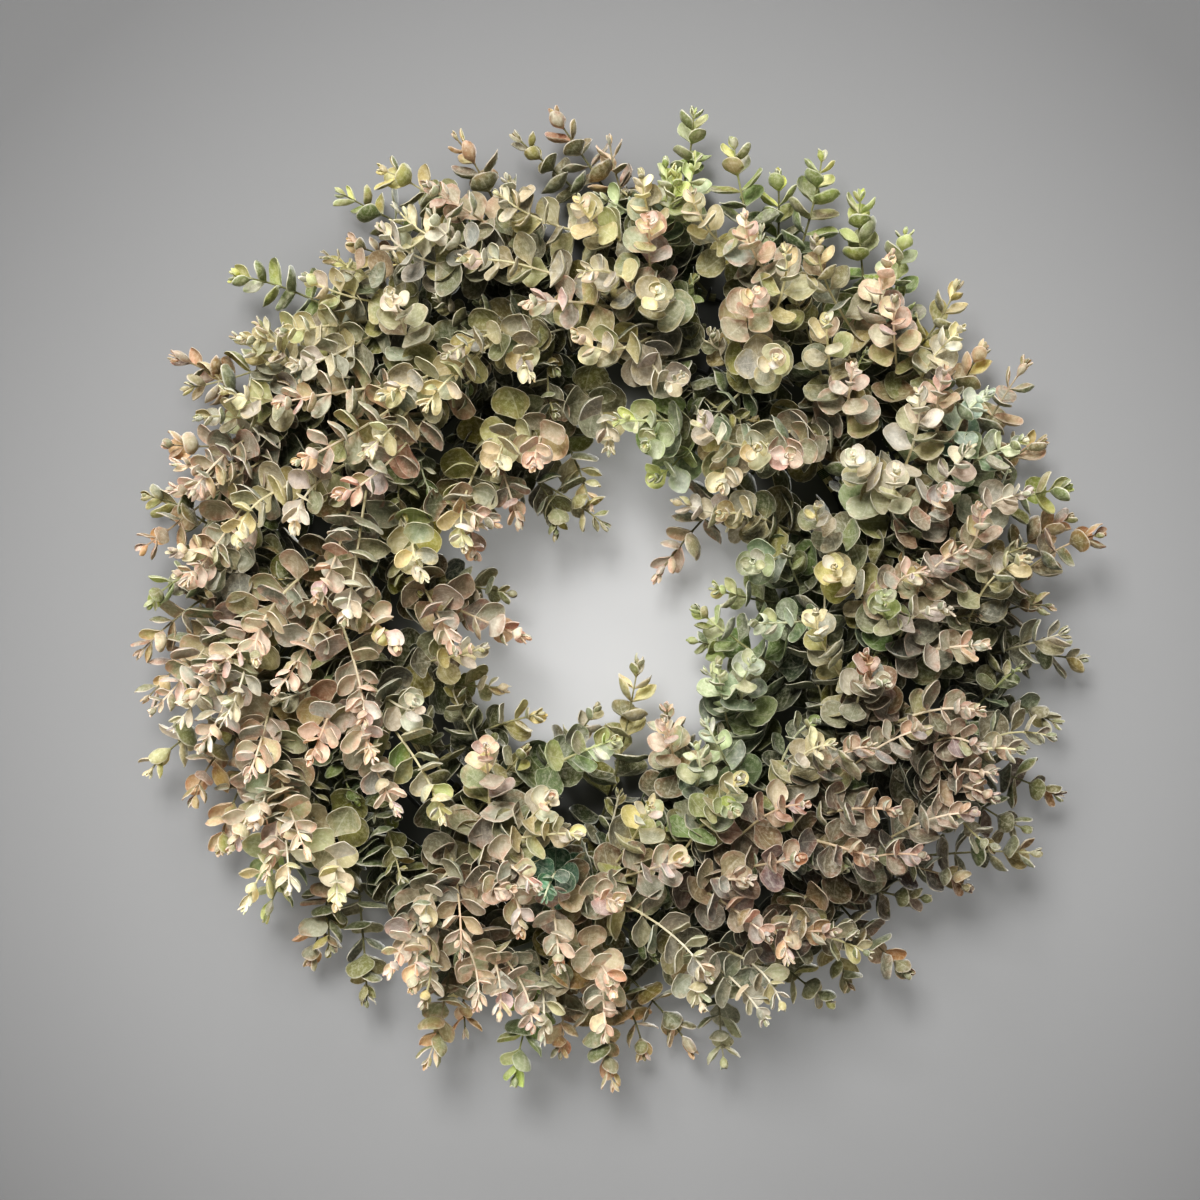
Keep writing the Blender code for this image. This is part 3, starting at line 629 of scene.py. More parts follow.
@dataclass(frozen=True)
class Undergrowth:
    """Older, darker stems under the others, spread in rings from the hole to the rim; their darkened tones
    also stand for painted shade under the foliage.

    Each ring is a radius in millimetres and a number of stems, and the unevenness of the radius is in
    millimetres too. The heading's swing and the lifts are in degrees.
    """

    rings: tuple[tuple[int, int], ...] = ((116, 13), (142, 16), (170, 19), (198, 21), (226, 23), (252, 24))
    # Darkened tones: partly the deeper green of inner leaves, partly painted shade under the other stems
    tones: tuple[str, ...] = ("Od", "Gd", "Md", "Td", "O", "Od")
    spacing: Pair = (0.1, 0.9)
    unevenness: float = 9.0
    swing: float = 28.0
    lifts: Pair = (12.0, 58.0)

    def entries(self, draw: np.random.Generator) -> list[Entry]:
        """Rows for these stems: each points about as the nearest seen stem does, and takes on its tone.

        Args:
            draw: Source of variety.

        Returns:
            Rows as in the tables.
        """
        seen = OUTER_STEMS + CROWN_STEMS + INNER_STEMS + FRONT_STEMS
        tips = np.array([row[:2] for row in seen], dtype=float)
        entries = []
        for radius, count in self.rings:
            for k in range(count):
                turn = (k + draw.uniform(*self.spacing)) * TURN / count
                away = radius + draw.uniform(-self.unevenness, self.unevenness)
                place = away * np.array([math.cos(turn), math.sin(turn)])
                near = seen[int(np.argmin(np.linalg.norm(tips - place, axis=1)))]
                heading = near[2] + draw.normal(0.0, self.swing)
                lift = draw.uniform(*self.lifts)
                marks = self.tones[int(draw.integers(len(self.tones)))] + near[4][0]
                entries.append((place[0], place[1], heading, lift, marks))
        return entries


class Planting:
    """All bunches with their stems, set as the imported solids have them."""

    def __init__(self, nodes: dict[str, bpy.types.Object]) -> None:
        """Grows the stems of every packed bunch, and then those that only these looks add.

        Args:
            nodes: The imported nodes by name.
        """
        places = [Bunch(row, number) for row in ROWS for number in range(RING.places)]
        self.bunches = {bunch.name: bunch for bunch in places if bunch.name in nodes}
        self.corners = {name: self.read_corners(nodes[name]) for name in self.bunches}
        self.draw = np.random.default_rng(PART_SEED)
        self.planted = 0
        for kind, table in ((Kind.TIP, OUTER_STEMS), (Kind.INNER, INNER_STEMS), (Kind.CROWN, CROWN_STEMS)):
            self.plant(kind, table, self.follow)
        self.plant(Kind.FRONT, FRONT_STEMS, self.add_between)
        self.plant(Kind.UNDER, Undergrowth().entries(self.draw), self.add_between)

    def plant(self, kind: Kind, table: Iterable[Entry], grow: Callable[[Stem], None]) -> None:
        """Grows the stems of one table, each with a roll and a share of the depth of its own.

        Args:
            kind: Where the stems end.
            table: Their rows.
            grow: What finds a stem's bunch and path.
        """
        for entry in table:
            roll, share = self.draw.uniform(0.0, TURN), self.draw.uniform(0.0, 1.0)
            grow(Stem(entry, kind, self.planted, roll, share))
            self.planted += 1

    @staticmethod
    def read_corners(node: bpy.types.Object) -> Array:
        """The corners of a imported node.

        Args:
            node: The node.

        Returns:
            The corners, one a row.
        """
        flat = np.empty(3 * len(node.data.vertices), dtype=np.float32)
        node.data.vertices.foreach_get("co", flat)
        return flat.reshape(-1, 3).astype(float)

    def follow(self, stem: Stem) -> None:
        """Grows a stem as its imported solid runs: the solid with a corner at its tip, and the nearest way.

        Args:
            stem: The stem, which has its tip but no path.
        """
        tip_gaps = {name: np.linalg.norm(c - stem.tip, axis=1).min() for name, c in self.corners.items()}
        name = min(tip_gaps, key=tip_gaps.get)
        if tip_gaps[name] > GROWTH.tip_match:
            log.info("no packed stem ends at %s", stem.entry)
            self.add_between(stem)
            return
        bunch = self.bunches[name]
        root, ways = bunch.root(len(bunch.stems)), bunch.leave_ways()
        misfits = []
        for leave in ways:
            stem.grow(root, leave)
            misfits.append(stem.misfit(self.corners[name]))
        stem.fit = min(misfits)
        stem.grow(root, ways[misfits.index(stem.fit)])
        bunch.stems.append(stem)

    def add_between(self, stem: Stem) -> None:
        """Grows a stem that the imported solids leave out, from the nearest bunch of its row.

        Args:
            stem: The stem, which has its tip but no path.
        """
        near = [b for b in self.bunches.values() if b.row is stem.row()]
        gaps = [abs((b.angle - stem.root_angle + math.pi) % TURN - math.pi) for b in near]
        bunch = near[int(np.argmin(gaps))]
        stem.grow(bunch.root(len(bunch.stems) % bunch.row.most), bunch.leave_ways()[0])
        bunch.stems.append(stem)


class LeafShape:
    """The grid of one leaf: a round blade, narrow at its foot, with both faces and a rim.

    A square grid (a, b) is drawn into a disc by x = a sqrt(1 - b^2/2), y = b sqrt(1 - a^2/2), which
    has no pole. The disc is narrowed at its foot and given a hollow, a fold and a wave. A point's
    place on its leaf is its x, its y, and 1 in front or -1 behind.
    """

    def __init__(self, cells: int = 4) -> None:
        """Makes the grid and its faces.

        Args:
            cells: Cells along each side of the square.
        """
        line = np.linspace(-1.0, 1.0, cells + 1)
        a, b = np.meshgrid(line, line, indexing="ij")
        self.x = (a * np.sqrt(1.0 - 0.5 * b * b)).ravel()
        self.y = (b * np.sqrt(1.0 - 0.5 * a * a)).ravel()
        self.count = self.x.size
        front = np.stack([self.x, self.y, np.ones(self.count)], axis=1)
        self.places = np.concatenate([front, front * (1.0, 1.0, -1.0)])
        self.faces = self.make_faces(cells)

    def make_faces(self, cells: int) -> Array:
        """Faces of the front, the back and the rim, four corners each.

        Args:
            cells: Cells along each side of the square.

        Returns:
            Corner numbers, one face a row, the back's corners after the front's.
        """
        number = np.arange(self.count).reshape(cells + 1, cells + 1)
        front = np.stack([number[:-1, :-1], number[1:, :-1], number[1:, 1:], number[:-1, 1:]], axis=-1)
        front = front.reshape(-1, 4)
        loop = np.concatenate([number[0, :-1], number[:-1, -1], number[-1, :0:-1], number[:0:-1, 0]])
        after = np.roll(loop, -1)
        rim = np.stack([loop, after, after + self.count, loop + self.count], axis=-1)
        return np.concatenate([front, front[:, ::-1] + self.count, rim])


LEAF = LeafShape()


class LeafRows:
    """The leaves of a bunch: foot, axis, normal, length, width, colour and blush, a leaf a row."""

    def __init__(self) -> None:
        """Starts with no leaves."""
        self.parts: dict[str, list[Array]] = {}

    def add(self, keep: Array, **values: Array) -> None:
        """Adds the leaves of one stem.

        Args:
            keep: True for each leaf that stays.
            **values: Rows of each kind, under its name.
        """
        for name, value in values.items():
            self.parts.setdefault(name, []).append(value[keep])

    def joined(self, name: str) -> Array:
        """All rows of one kind as one array."""
        return np.concatenate(self.parts[name])


@dataclass(frozen=True)
class Foliage:
    """Sizes, habits and colouring of the leaves, and the making of a bunch's leaf piece.

    Pairs of numbers are the ends between which a value is drawn, or over which it rises.
    """

    thickness: float = 0.55 * MM
    hollow: Pair = (0.08, 0.24)
    fold: Pair = (-0.02, 0.09)
    curl: Pair = (-0.14, 0.14)
    point: Pair = (0.02, 0.24)
    wave: float = 0.03
    waves: float = 3.0
    foot_width: float = 0.36
    neck_end: float = 0.45
    broad_end: float = 0.82
    sharp: float = 55.0
    slender_share: float = 0.24
    slender: float = 0.50
    open_size: float = 1.09
    size_spread: float = 0.10
    tilt_spread: float = math.radians(10.0)
    turn_spread: float = math.radians(20.0)
    bud_distance: float = 0.6 * MM
    bud_length: float = 5.5 * MM
    bud_width: float = 0.5
    bud_tilt: float = math.radians(15.0)
    bare_root: float = 13.0 * MM
    wall_clear: float = 1.2 * MM
    wall_press: float = 6.0 * MM
    lost_behind: float = 14.0 * MM
    front: float = 131.0 * MM
    front_press: float = 5.0 * MM
    young_until: float = 10.0 * MM
    grown_from: float = 44.0 * MM
    age_spread: float = 0.14
    second_tone: float = 0.28
    dusting: float = 0.55
    young_dusting: float = 0.35
    fresh_share: float = 0.5
    grown_blush: float = 0.5
    strength: Pair = (0.46, 1.44)
    deep_strength: float = 0.60
    value_spread: float = 0.16
    hue_spread: float = 0.042
    limits: Pair = (0.01, 0.95)
    # Painted shade deep in the foliage eases off over these radii at the rim and the hole, where light gets
    # in from the side
    rim_light: Pair = (222.0 * MM, 272.0 * MM)
    hole_light: Pair = (78.0 * MM, 112.0 * MM)
    rim_gain: float = 0.6
    # Painted shade and light round the ring: leaves darker at the lower right, lighter at the lower left
    side_shade: tuple[float, ...] = (0.925, -0.23, 0.05, 0.31)
    side_reach: float = 230.0 * MM
    tip_shade: Colour = (0.76, 0.75, 0.62)
    # Painted shade deep in the foliage, partly also the deeper green of inner leaves: deep_shade darkens
    # and deep_strength saturates
    shade_depth: Pair = (0.28, 0.90)
    deep_shade: Colour = (0.24, 0.26, 0.13)

    def pairs(self, stem: Stem) -> tuple[Array, ...]:
        """The leaf pairs of a stem, the bud first.

        Args:
            stem: A grown stem.

        Returns:
            Distances from the tip, lengths, widths as shares of them, tilts, and pair numbers.
        """
        open_stem = stem.kind is Kind.TIP
        back = np.array(GROWTH.open_pairs_from_tip if open_stem else GROWTH.set_pairs_from_tip) * MM
        length = np.array(GROWTH.open_leaf_lengths if open_stem else GROWTH.leaf_lengths) * MM
        fits = back < stem.length - self.bare_root
        width, tilt = np.array(GROWTH.leaf_widths), np.radians(GROWTH.leaf_tilts)
        grown = (back, length, width, tilt, np.arange(len(back)))
        bud = (self.bud_distance, self.bud_length, self.bud_width, self.bud_tilt, -1)
        return tuple(np.concatenate([[first], values[fits]]) for first, values in zip(bud, grown))

    def colours(
        self, stem: Stem, back: Array, depth: Array, draw: np.random.Generator
    ) -> tuple[Array, Array]:
        """Leaf colours of a stem: young at the tip, grown further down, darker deep in the foliage: partly
        the deeper green of inner leaves, partly painted shade.

        The side shade, painted shade and light round the ring, darker at the lower right and lighter at
        the lower left, is c0 + c1 right + c2 up + c3 right up, in shares of the side's reach.

        Args:
            stem: The stem, for its tones.
            back: Each leaf's distance from the tip.
            depth: Each leaf's distance from the wall, as a share of the foliage's height there, and
            more at the rim and at the hole, where light reaches in from the side and less painted shade
            falls.
            draw: Source of variety.

        Returns:
            The leaves' own colours, and the colours of their blush, one a row.
        """
        count = len(back)
        tones = [Tone(mark) for mark in stem.marks if mark.isupper()]
        shift = np.prod([SHIFTS.get(mark, (1.0, 1.0, 1.0)) for mark in stem.marks], axis=0)
        second = (draw.random(count) < self.second_tone).astype(int) * (len(tones) - 1)
        grown = np.array([SHADES[tone].grown for tone in tones])[second]
        young = np.array([SHADES[tone].young for tone in tones])[second]
        fresh = np.array(FRESH_TINTS)[draw.integers(len(FRESH_TINTS), size=count)]
        young = mixed(young, fresh, draw.uniform(0.0, self.fresh_share, (count, 1)))
        age = smooth_step(back, self.young_until, self.grown_from)[:, None]
        age = np.clip(age + draw.normal(0.0, self.age_spread, (count, 1)), 0.0, 1.0)
        dust = np.array(DUSTS)[draw.integers(len(DUSTS), size=count)]
        dusted = draw.uniform(0.0, self.dusting, (count, 1)) * mixed(self.young_dusting, 1.0, age)
        colour = mixed(mixed(young, grown, age), dust, dusted)
        # Painted shade: leaves deep in the foliage are darker and more saturated, partly as inner leaves
        # are a deeper green
        light = smooth_step(depth, *self.shade_depth)[:, None]
        # Painted shade and light round the ring: darker at the lower right, lighter at the lower left
        right, up = stem.seen / self.side_reach
        side = float(np.dot(self.side_shade, (1.0, right, up, right * up)))
        shade = mixed(np.array(self.deep_shade), 1.0, light) * side
        if stem.kind is Kind.TIP:
            shade = shade * np.array(self.tip_shade)
        colour = colour * shift * shade * draw.normal(1.0, self.value_spread, (count, 1))
        grey = colour.mean(axis=1, keepdims=True)
        strength = draw.uniform(*self.strength, (count, 1)) + self.deep_strength * (1.0 - light)
        colour = mixed(grey, colour, strength) * draw.normal(1.0, self.hue_spread, (count, 3))
        edge = np.array(SHADES[tones[0]].blush)
        blush = mixed(edge, grown, self.grown_blush * age) * shift * shade
        return np.clip(colour, *self.limits), np.clip(blush, *self.limits)

    def leaves_of(self, stem: Stem, rows: LeafRows, draw: np.random.Generator) -> None:
        """Adds a stem's leaves to the rows, two opposite leaves at each pair, each pair across the last.

        Args:
            stem: A grown stem.
            rows: Rows of the bunch so far.
            draw: Source of variety.
        """
        back, length, width, tilt, number = (np.repeat(v, 2) for v in self.pairs(stem))
        count = len(back)
        if draw.random() < self.slender_share:
            width = width * mixed(self.slender, 1.0, smooth_step(back, 0.0, self.grown_from))
        points, tangents, a, b = stem.stations(stem.length - back)
        sides = np.tile([1.0, -1.0], count // 2)[:, None]
        outward = np.where((number % 2 == 1)[:, None], a, b) * sides
        turn = np.repeat(draw.normal(0.0, self.turn_spread, count // 2), 2)[:, None]
        outward = np.cos(turn) * outward + np.sin(turn) * np.cross(tangents, outward)
        tilt = (tilt + draw.normal(0.0, self.tilt_spread, count))[:, None]
        mean_size = self.open_size if stem.kind in (Kind.TIP, Kind.INNER) else 1.0
        length = length * draw.normal(mean_size, self.size_spread, count)
        axis = np.cos(tilt) * tangents + np.sin(tilt) * outward
        normal = np.sin(tilt) * tangents - np.cos(tilt) * outward
        end = points + axis * length[:, None]
        middle = 0.5 * (points + end)
        # How deep a leaf lies, for its painted shade: less at the rim and the hole, where light gets in
        # from the side
        away = np.hypot(middle[:, 0], middle[:, 2] - RING.middle_height)
        rim = smooth_step(away, *self.rim_light) + 1.0 - smooth_step(away, *self.hole_light)
        depth = (RING.back - middle[:, 1]) / canopy(away) + self.rim_gain * rim
        colour, blush = self.colours(stem, back, depth, draw)
        keep = end[:, 1] < RING.back + self.lost_behind
        rows.add(keep, foot=points, axis=axis, normal=normal, length=length, width=length * width)
        rows.add(keep, colour=colour, blush=blush)

    def pressed(self, y: Array) -> Array:
        """Leaves lie against the wall, and no leaf stands past the front: each limit is reached as by tanh.

        Args:
            y: Depth coordinates of the leaves' points.

        Returns:
            The same, eased to the limits.
        """
        wall = RING.back - self.wall_clear - self.wall_press
        over = np.maximum(y - wall, 0.0)
        y = np.minimum(y, wall) + self.wall_press * np.tanh(over / self.wall_press)
        front = RING.back - self.front + self.front_press
        past = np.maximum(front - y, 0.0)
        return np.maximum(y, front) - self.front_press * np.tanh(past / self.front_press)

    def piece(
        self, bunch: Bunch, material: bpy.types.Material, draw: np.random.Generator
    ) -> bpy.types.Object:
        """All leaves of a bunch as one piece.

        A leaf's point is foot + along*axis + across*side + height*normal, where along and across come
        from the disc, and height is a hollow r^2 - 1, a fold |y|, a curl of the end and a wave of the
        rim, each drawn anew for every leaf.

        Args:
            bunch: The bunch.
            material: Its leaves' material.
            draw: Source of variety.

        Returns:
            The finished piece.
        """
        rows = LeafRows()
        for stem in bunch.stems:
            self.leaves_of(stem, rows, draw)
        foot, axis, normal = (rows.joined(name)[:, None] for name in ("foot", "axis", "normal"))
        length, width = (rows.joined(name)[:, None] for name in ("length", "width"))
        side = np.cross(normal, axis)
        count = len(foot)
        x, y = LEAF.x[None], LEAF.y[None]
        along = (0.5 * (x + 1.0)) ** self.broad_end
        neck = mixed(self.foot_width, 1.0, smooth_step(along, 0.0, self.neck_end))
        neck = neck * (1.0 - draw.uniform(*self.point, (count, 1)) * along**4)
        radius2 = x * x + y * y
        habits = (self.hollow, self.fold, self.curl)
        hollow, fold, curl = (draw.uniform(*ends, (count, 1)) for ends in habits)
        phase = draw.uniform(0.0, TURN, (count, 1))
        wave = self.wave * radius2 * np.sin(self.waves * np.arctan2(y, x) + phase)
        height = hollow * (radius2 - 1.0) + fold * np.abs(y) * along + curl * along**2 + wave
        front = (
            foot
            + (length * along)[..., None] * axis
            + (0.5 * width * y * neck)[..., None] * side
            + (length * height)[..., None] * normal
        )
        front[..., 1] = self.pressed(front[..., 1])
        points = np.concatenate([front, front - self.thickness * normal], axis=1).reshape(-1, 3)
        faces = LEAF.faces[None] + (2 * LEAF.count * np.arange(count))[:, None, None]
        made = make_piece(f"{bunch.name}_leaves", points, faces.reshape(-1, 4), self.sharp, material)
        add_colour(made, "leaf_colour", rows.joined("colour"), draw.random((count, 1)))
        add_colour(made, "leaf_blush", rows.joined("blush"))
        add_vector(made, "leaf_place", np.tile(LEAF.places, (count, 1)))
        return made


def make_piece(
    name: str, points: Array, faces: Array, sharp: float, material: bpy.types.Material
) -> bpy.types.Object:
    """A mesh object at the origin, shaded smooth up to an angle.

    Args:
        name: The piece's name.
        points: Its points, one a row.
        faces: Its faces, four corners a row.
        sharp: Angle in degrees from which an edge stays sharp.
        material: Its material.

    Returns:
        The object, linked to the scene.
    """
    mesh = bpy.data.meshes.new(name)
    mesh.from_pydata(points.tolist(), [], faces.tolist())
    mesh.shade_smooth()
    mesh.set_sharp_from_angle(angle=math.radians(sharp))
    mesh.materials.append(material)
    made = bpy.data.objects.new(name, mesh)
    bpy.context.scene.collection.objects.link(made)
    return made


def add_colour(made: bpy.types.Object, name: str, colours: Array, alpha: Array | float = 1.0) -> None:
    """Keeps a colour at each point of a piece under a name.

    Args:
        made: The piece.
        name: The attribute's name.
        colours: Colours, one for each point or for each run of as many points.
        alpha: A further value, one for all or one for each colour.
    """
    values = np.concatenate([colours, np.broadcast_to(alpha, (len(colours), 1))], axis=1)
    values = np.repeat(values, len(made.data.vertices) // len(colours), axis=0)
    attribute = made.data.attributes.new(name, "FLOAT_COLOR", "POINT")
    attribute.data.foreach_set("color", values.astype(np.float32).ravel())


def add_vector(made: bpy.types.Object, name: str, vectors: Array) -> None:
    """Keeps a vector at each point of a piece under a name."""
    attribute = made.data.attributes.new(name, "FLOAT_VECTOR", "POINT")
    attribute.data.foreach_set("vector", vectors.astype(np.float32).ravel())


class TubeSet:
    """Round tubes gathered into one mesh, each a circle carried along its path."""

    sharp = 50.0
    guides = np.array([[1.0, 0.0, 0.0], [0.0, 1.0, 0.0], [0.0, 0.0, 1.0], [0.58, 0.58, 0.58]])

    def __init__(self) -> None:
        """Starts with no tubes."""
        self.points: list[Array] = []
        self.faces: list[Array] = []
        self.colours: list[Array] = []
        self.count = 0

    def add(
        self, path: Array, radius: Array | float, sides: int, colour: Array | Colour, closed: bool = False
    ) -> None:
        """Adds a tube. A point of it is path + radius*(cos t * side + sin t * beyond).

        Args:
            path: Points of the tube's middle line, one a row.
            radius: Its radius, one for each point or one for all.
            sides: Points round it.
            colour: One colour, or one for each point of the path.
            closed: True for a loop, whose last point isn't its first.
        """
        count = len(path)
        if closed:
            tangents = unit(np.roll(path, -1, axis=0) - np.roll(path, 1, axis=0))
        else:
            tangents = unit(np.gradient(path, axis=0))
        guide = self.guide(tangents)
        side = unit(guide - tangents * (tangents @ guide)[:, None])
        beyond = np.cross(tangents, side)
        turns = (np.arange(sides) * TURN / sides)[:, None]
        ring = np.cos(turns) * side[:, None] + np.sin(turns) * beyond[:, None]
        wide = np.broadcast_to(np.asarray(radius, dtype=float), (count,))[:, None, None]
        self.points.append((path[:, None] + wide * ring).reshape(-1, 3))
        number = np.arange(count * sides).reshape(count, sides)
        lower = number if closed else number[:-1]
        upper = np.roll(number, -1, axis=0) if closed else number[1:]
        faces = np.stack([lower, np.roll(lower, -1, axis=1), np.roll(upper, -1, axis=1), upper], axis=-1)
        self.faces.append(faces.reshape(-1, 4) + self.count)
        if not closed:
            self.cap(number[0][::-1] + self.count)
            self.cap(number[-1] + self.count)
        shades = np.broadcast_to(np.asarray(colour, dtype=float), (count, 3))
        self.colours.append(np.repeat(shades, sides, axis=0))
        self.count += count * sides

    def cap(self, ring: Array) -> None:
        """Closes an end of an even number of sides by a fan of four-cornered faces.

        Args:
            ring: Numbers of the end's points, in their order round it.
        """
        for i in range(1, len(ring) - 2, 2):
            self.faces.append(np.array([[ring[0], ring[i], ring[i + 1], ring[i + 2]]]))

    def guide(self, tangents: Array) -> Array:
        """A direction that no tangent of a path comes near.

        Args:
            tangents: The path's directions, one a row.

        Returns:
            The guide whose nearest tangent is furthest.
        """
        worst = np.abs(tangents @ self.guides.T).max(axis=0)
        return self.guides[int(np.argmin(worst))]

    def piece(self, name: str, material: bpy.types.Material) -> bpy.types.Object:
        """The tubes as one piece.

        Args:
            name: The piece's name.
            material: Its material.

        Returns:
            The finished piece, with its colours under tube_colour.
        """
        points, faces = np.concatenate(self.points), np.concatenate(self.faces)
        made = make_piece(name, points, faces, self.sharp, material)
        add_colour(made, "tube_colour", np.concatenate(self.colours))
        return made


@dataclass(frozen=True)
class StemWork:
    """The stems of a bunch: leafy stems, the gathered feet, trimmed stubs and the wrap round them."""

    root: float = 1.15 * MM
    tip: float = 0.55 * MM
    foot: float = 0.95 * MM
    knot: float = 0.35
    knot_reach: float = 1.5 * MM
    sides: int = 6
    steps: int = 12
    foot_steps: int = 5
    smoothed: int = 12
    smoothings: int = 3
    gathered: int = 7
    spread: float = 1.95 * MM
    merge: float = 9.0 * MM
    stub: float = 0.72
    stub_step: float = 0.04
    stub_points: int = 4
    wrap_turns: int = 6
    wrap_points: int = 12
    wrap_sides: int = 4
    wrap_pitch: float = 1.05 * MM
    wrap_wire: float = 0.45 * MM
    wrap_from_tail: float = 10.0 * MM
    twig_end: Pair = (6.8 * MM, 68.0 * MM)
    # Painted shade deep in the foliage: stems near the wall go dark olive
    wood_shade_depth: Pair = (20.0 * MM, 80.0 * MM)
    wood: Colour = srgb(178, 168, 134)
    painted_shade_wood: Colour = srgb(84, 84, 58)
    wrap_green: Colour = srgb(58, 74, 44)

    def gathered_place(self, bunch: Bunch, index: int) -> Array:
        """How far from the middle of the gathered stems a stem lies: one in the middle, six round it.

        Args:
            bunch: The stem's bunch.
            index: Its place in the bunch.

        Returns:
            The step from the middle.
        """
        if index % self.gathered == 0:
            return np.zeros(3)
        outward, _, forward = RING.axes(bunch.angle - 0.5 * bunch.turn)
        turn = (index % self.gathered) * TURN / (self.gathered - 1)
        return self.spread * (math.cos(turn) * outward + math.sin(turn) * forward)

    def whole_path(self, bunch: Bunch, stem: Stem, index: int) -> tuple[Array, Array, Array]:
        """The stem's middle line from the tail of its bunch to its tip, rounded where it leaves the bunch.

        Args:
            bunch: Its bunch.
            stem: The stem.
            index: Its place in the bunch.

        Returns:
            Points, radii and distances from the tip.
        """
        root = stem.path[0]
        reach = np.linalg.norm(root - bunch.tail)
        shares = np.linspace(0.0, 1.0, self.foot_steps + 1)[:-1]
        aside = smooth_step((1.0 - shares) * reach, 0.0, self.merge)[:, None]
        inside = mixed(bunch.tail, root, shares[:, None]) + self.gathered_place(bunch, index) * aside
        back = GROWTH.open_pairs_from_tip if stem.kind is Kind.TIP else GROWTH.set_pairs_from_tip
        pairs = stem.length - np.array(back) * MM
        pairs = pairs[pairs > self.knot_reach]
        knots = [pairs - self.knot_reach, pairs, pairs + self.knot_reach]
        distances = np.concatenate([np.linspace(0.0, stem.length, self.steps), *knots])
        distances = np.unique(np.clip(distances, 0.0, stem.length))
        gaps = np.ones(len(distances))
        if len(pairs):
            gaps = np.abs(distances[:, None] - pairs[None]).min(axis=1)
        swell = 1.0 + self.knot * np.clip(1.0 - gaps / self.knot_reach, 0.0, 1.0)
        radii = mixed(self.root, self.tip, distances / stem.length) * swell
        path = np.concatenate([inside, stem.stations(distances)[0]])
        # Each of the first points is drawn half way to the middle of its two neighbours
        last = self.smoothed
        for _ in range(self.smoothings):
            path[1:last] = 0.25 * path[: last - 1] + 0.5 * path[1:last] + 0.25 * path[2 : last + 1]
        radii = np.concatenate([np.full(len(inside), self.foot), radii])
        back = np.concatenate([np.full(len(inside), stem.length), stem.length - distances])
        return path, radii, back

    def colours(self, stem: Stem, back: Array, path: Array) -> Array:
        """Stem colours: the twig's near the tip, wood further down, and a dark olive near the wall, painted
        shade deep in the foliage.

        Args:
            stem: The stem, for its tone.
            back: Distances from the tip.
            path: Points of the stem.

        Returns:
            Colours, one a row.
        """
        near = smooth_step(back, *self.twig_end)[:, None]
        # Painted shade: stems darken towards a dark olive near the wall, deep in the foliage
        deep = 1.0 - smooth_step(RING.back - path[:, 1], *self.wood_shade_depth)[:, None]
        colour = mixed(np.array(SHADES[Tone(stem.marks[0])].twig), np.array(self.wood), near)
        return mixed(colour, np.array(self.painted_shade_wood), deep)

    def wrap_path(self, bunch: Bunch) -> Array:
        """The tying wire: a helix of close turns round the gathered stems.

        Args:
            bunch: The bunch that it ties.

        Returns:
            Points along the wire.
        """
        turns = np.linspace(0.0, self.wrap_turns * TURN, self.wrap_turns * self.wrap_points + 1)
        outward, _, forward = RING.axes(bunch.angle - 0.5 * bunch.turn)
        around = np.cos(turns)[:, None] * outward + np.sin(turns)[:, None] * forward
        along = self.wrap_from_tail + self.wrap_pitch * turns / TURN
        wide = self.spread + self.foot + self.wrap_wire
        return bunch.tail - bunch.run * along[:, None] + wide * around

    def piece(self, bunch: Bunch, material: bpy.types.Material) -> bpy.types.Object:
        """The stems of a bunch as one piece.

        Args:
            bunch: The bunch.
            material: The stems' material.

        Returns:
            The finished piece.
        """
        tubes = TubeSet()
        for index, stem in enumerate(bunch.stems):
            path, radii, back = self.whole_path(bunch, stem, index)
            tubes.add(path, radii, self.sides, self.colours(stem, back, path))
        for index in range(len(bunch.stems), self.gathered):
            shares = np.linspace(0.0, self.stub + self.stub_step * index, self.stub_points)[:, None]
            stub = mixed(bunch.tail, bunch.head, shares) + self.gathered_place(bunch, index)
            tubes.add(stub, self.foot, self.sides, self.wood)
        tubes.add(self.wrap_path(bunch), self.wrap_wire, self.wrap_sides, self.wrap_green)
        return tubes.piece(f"{bunch.name}_stems", material)


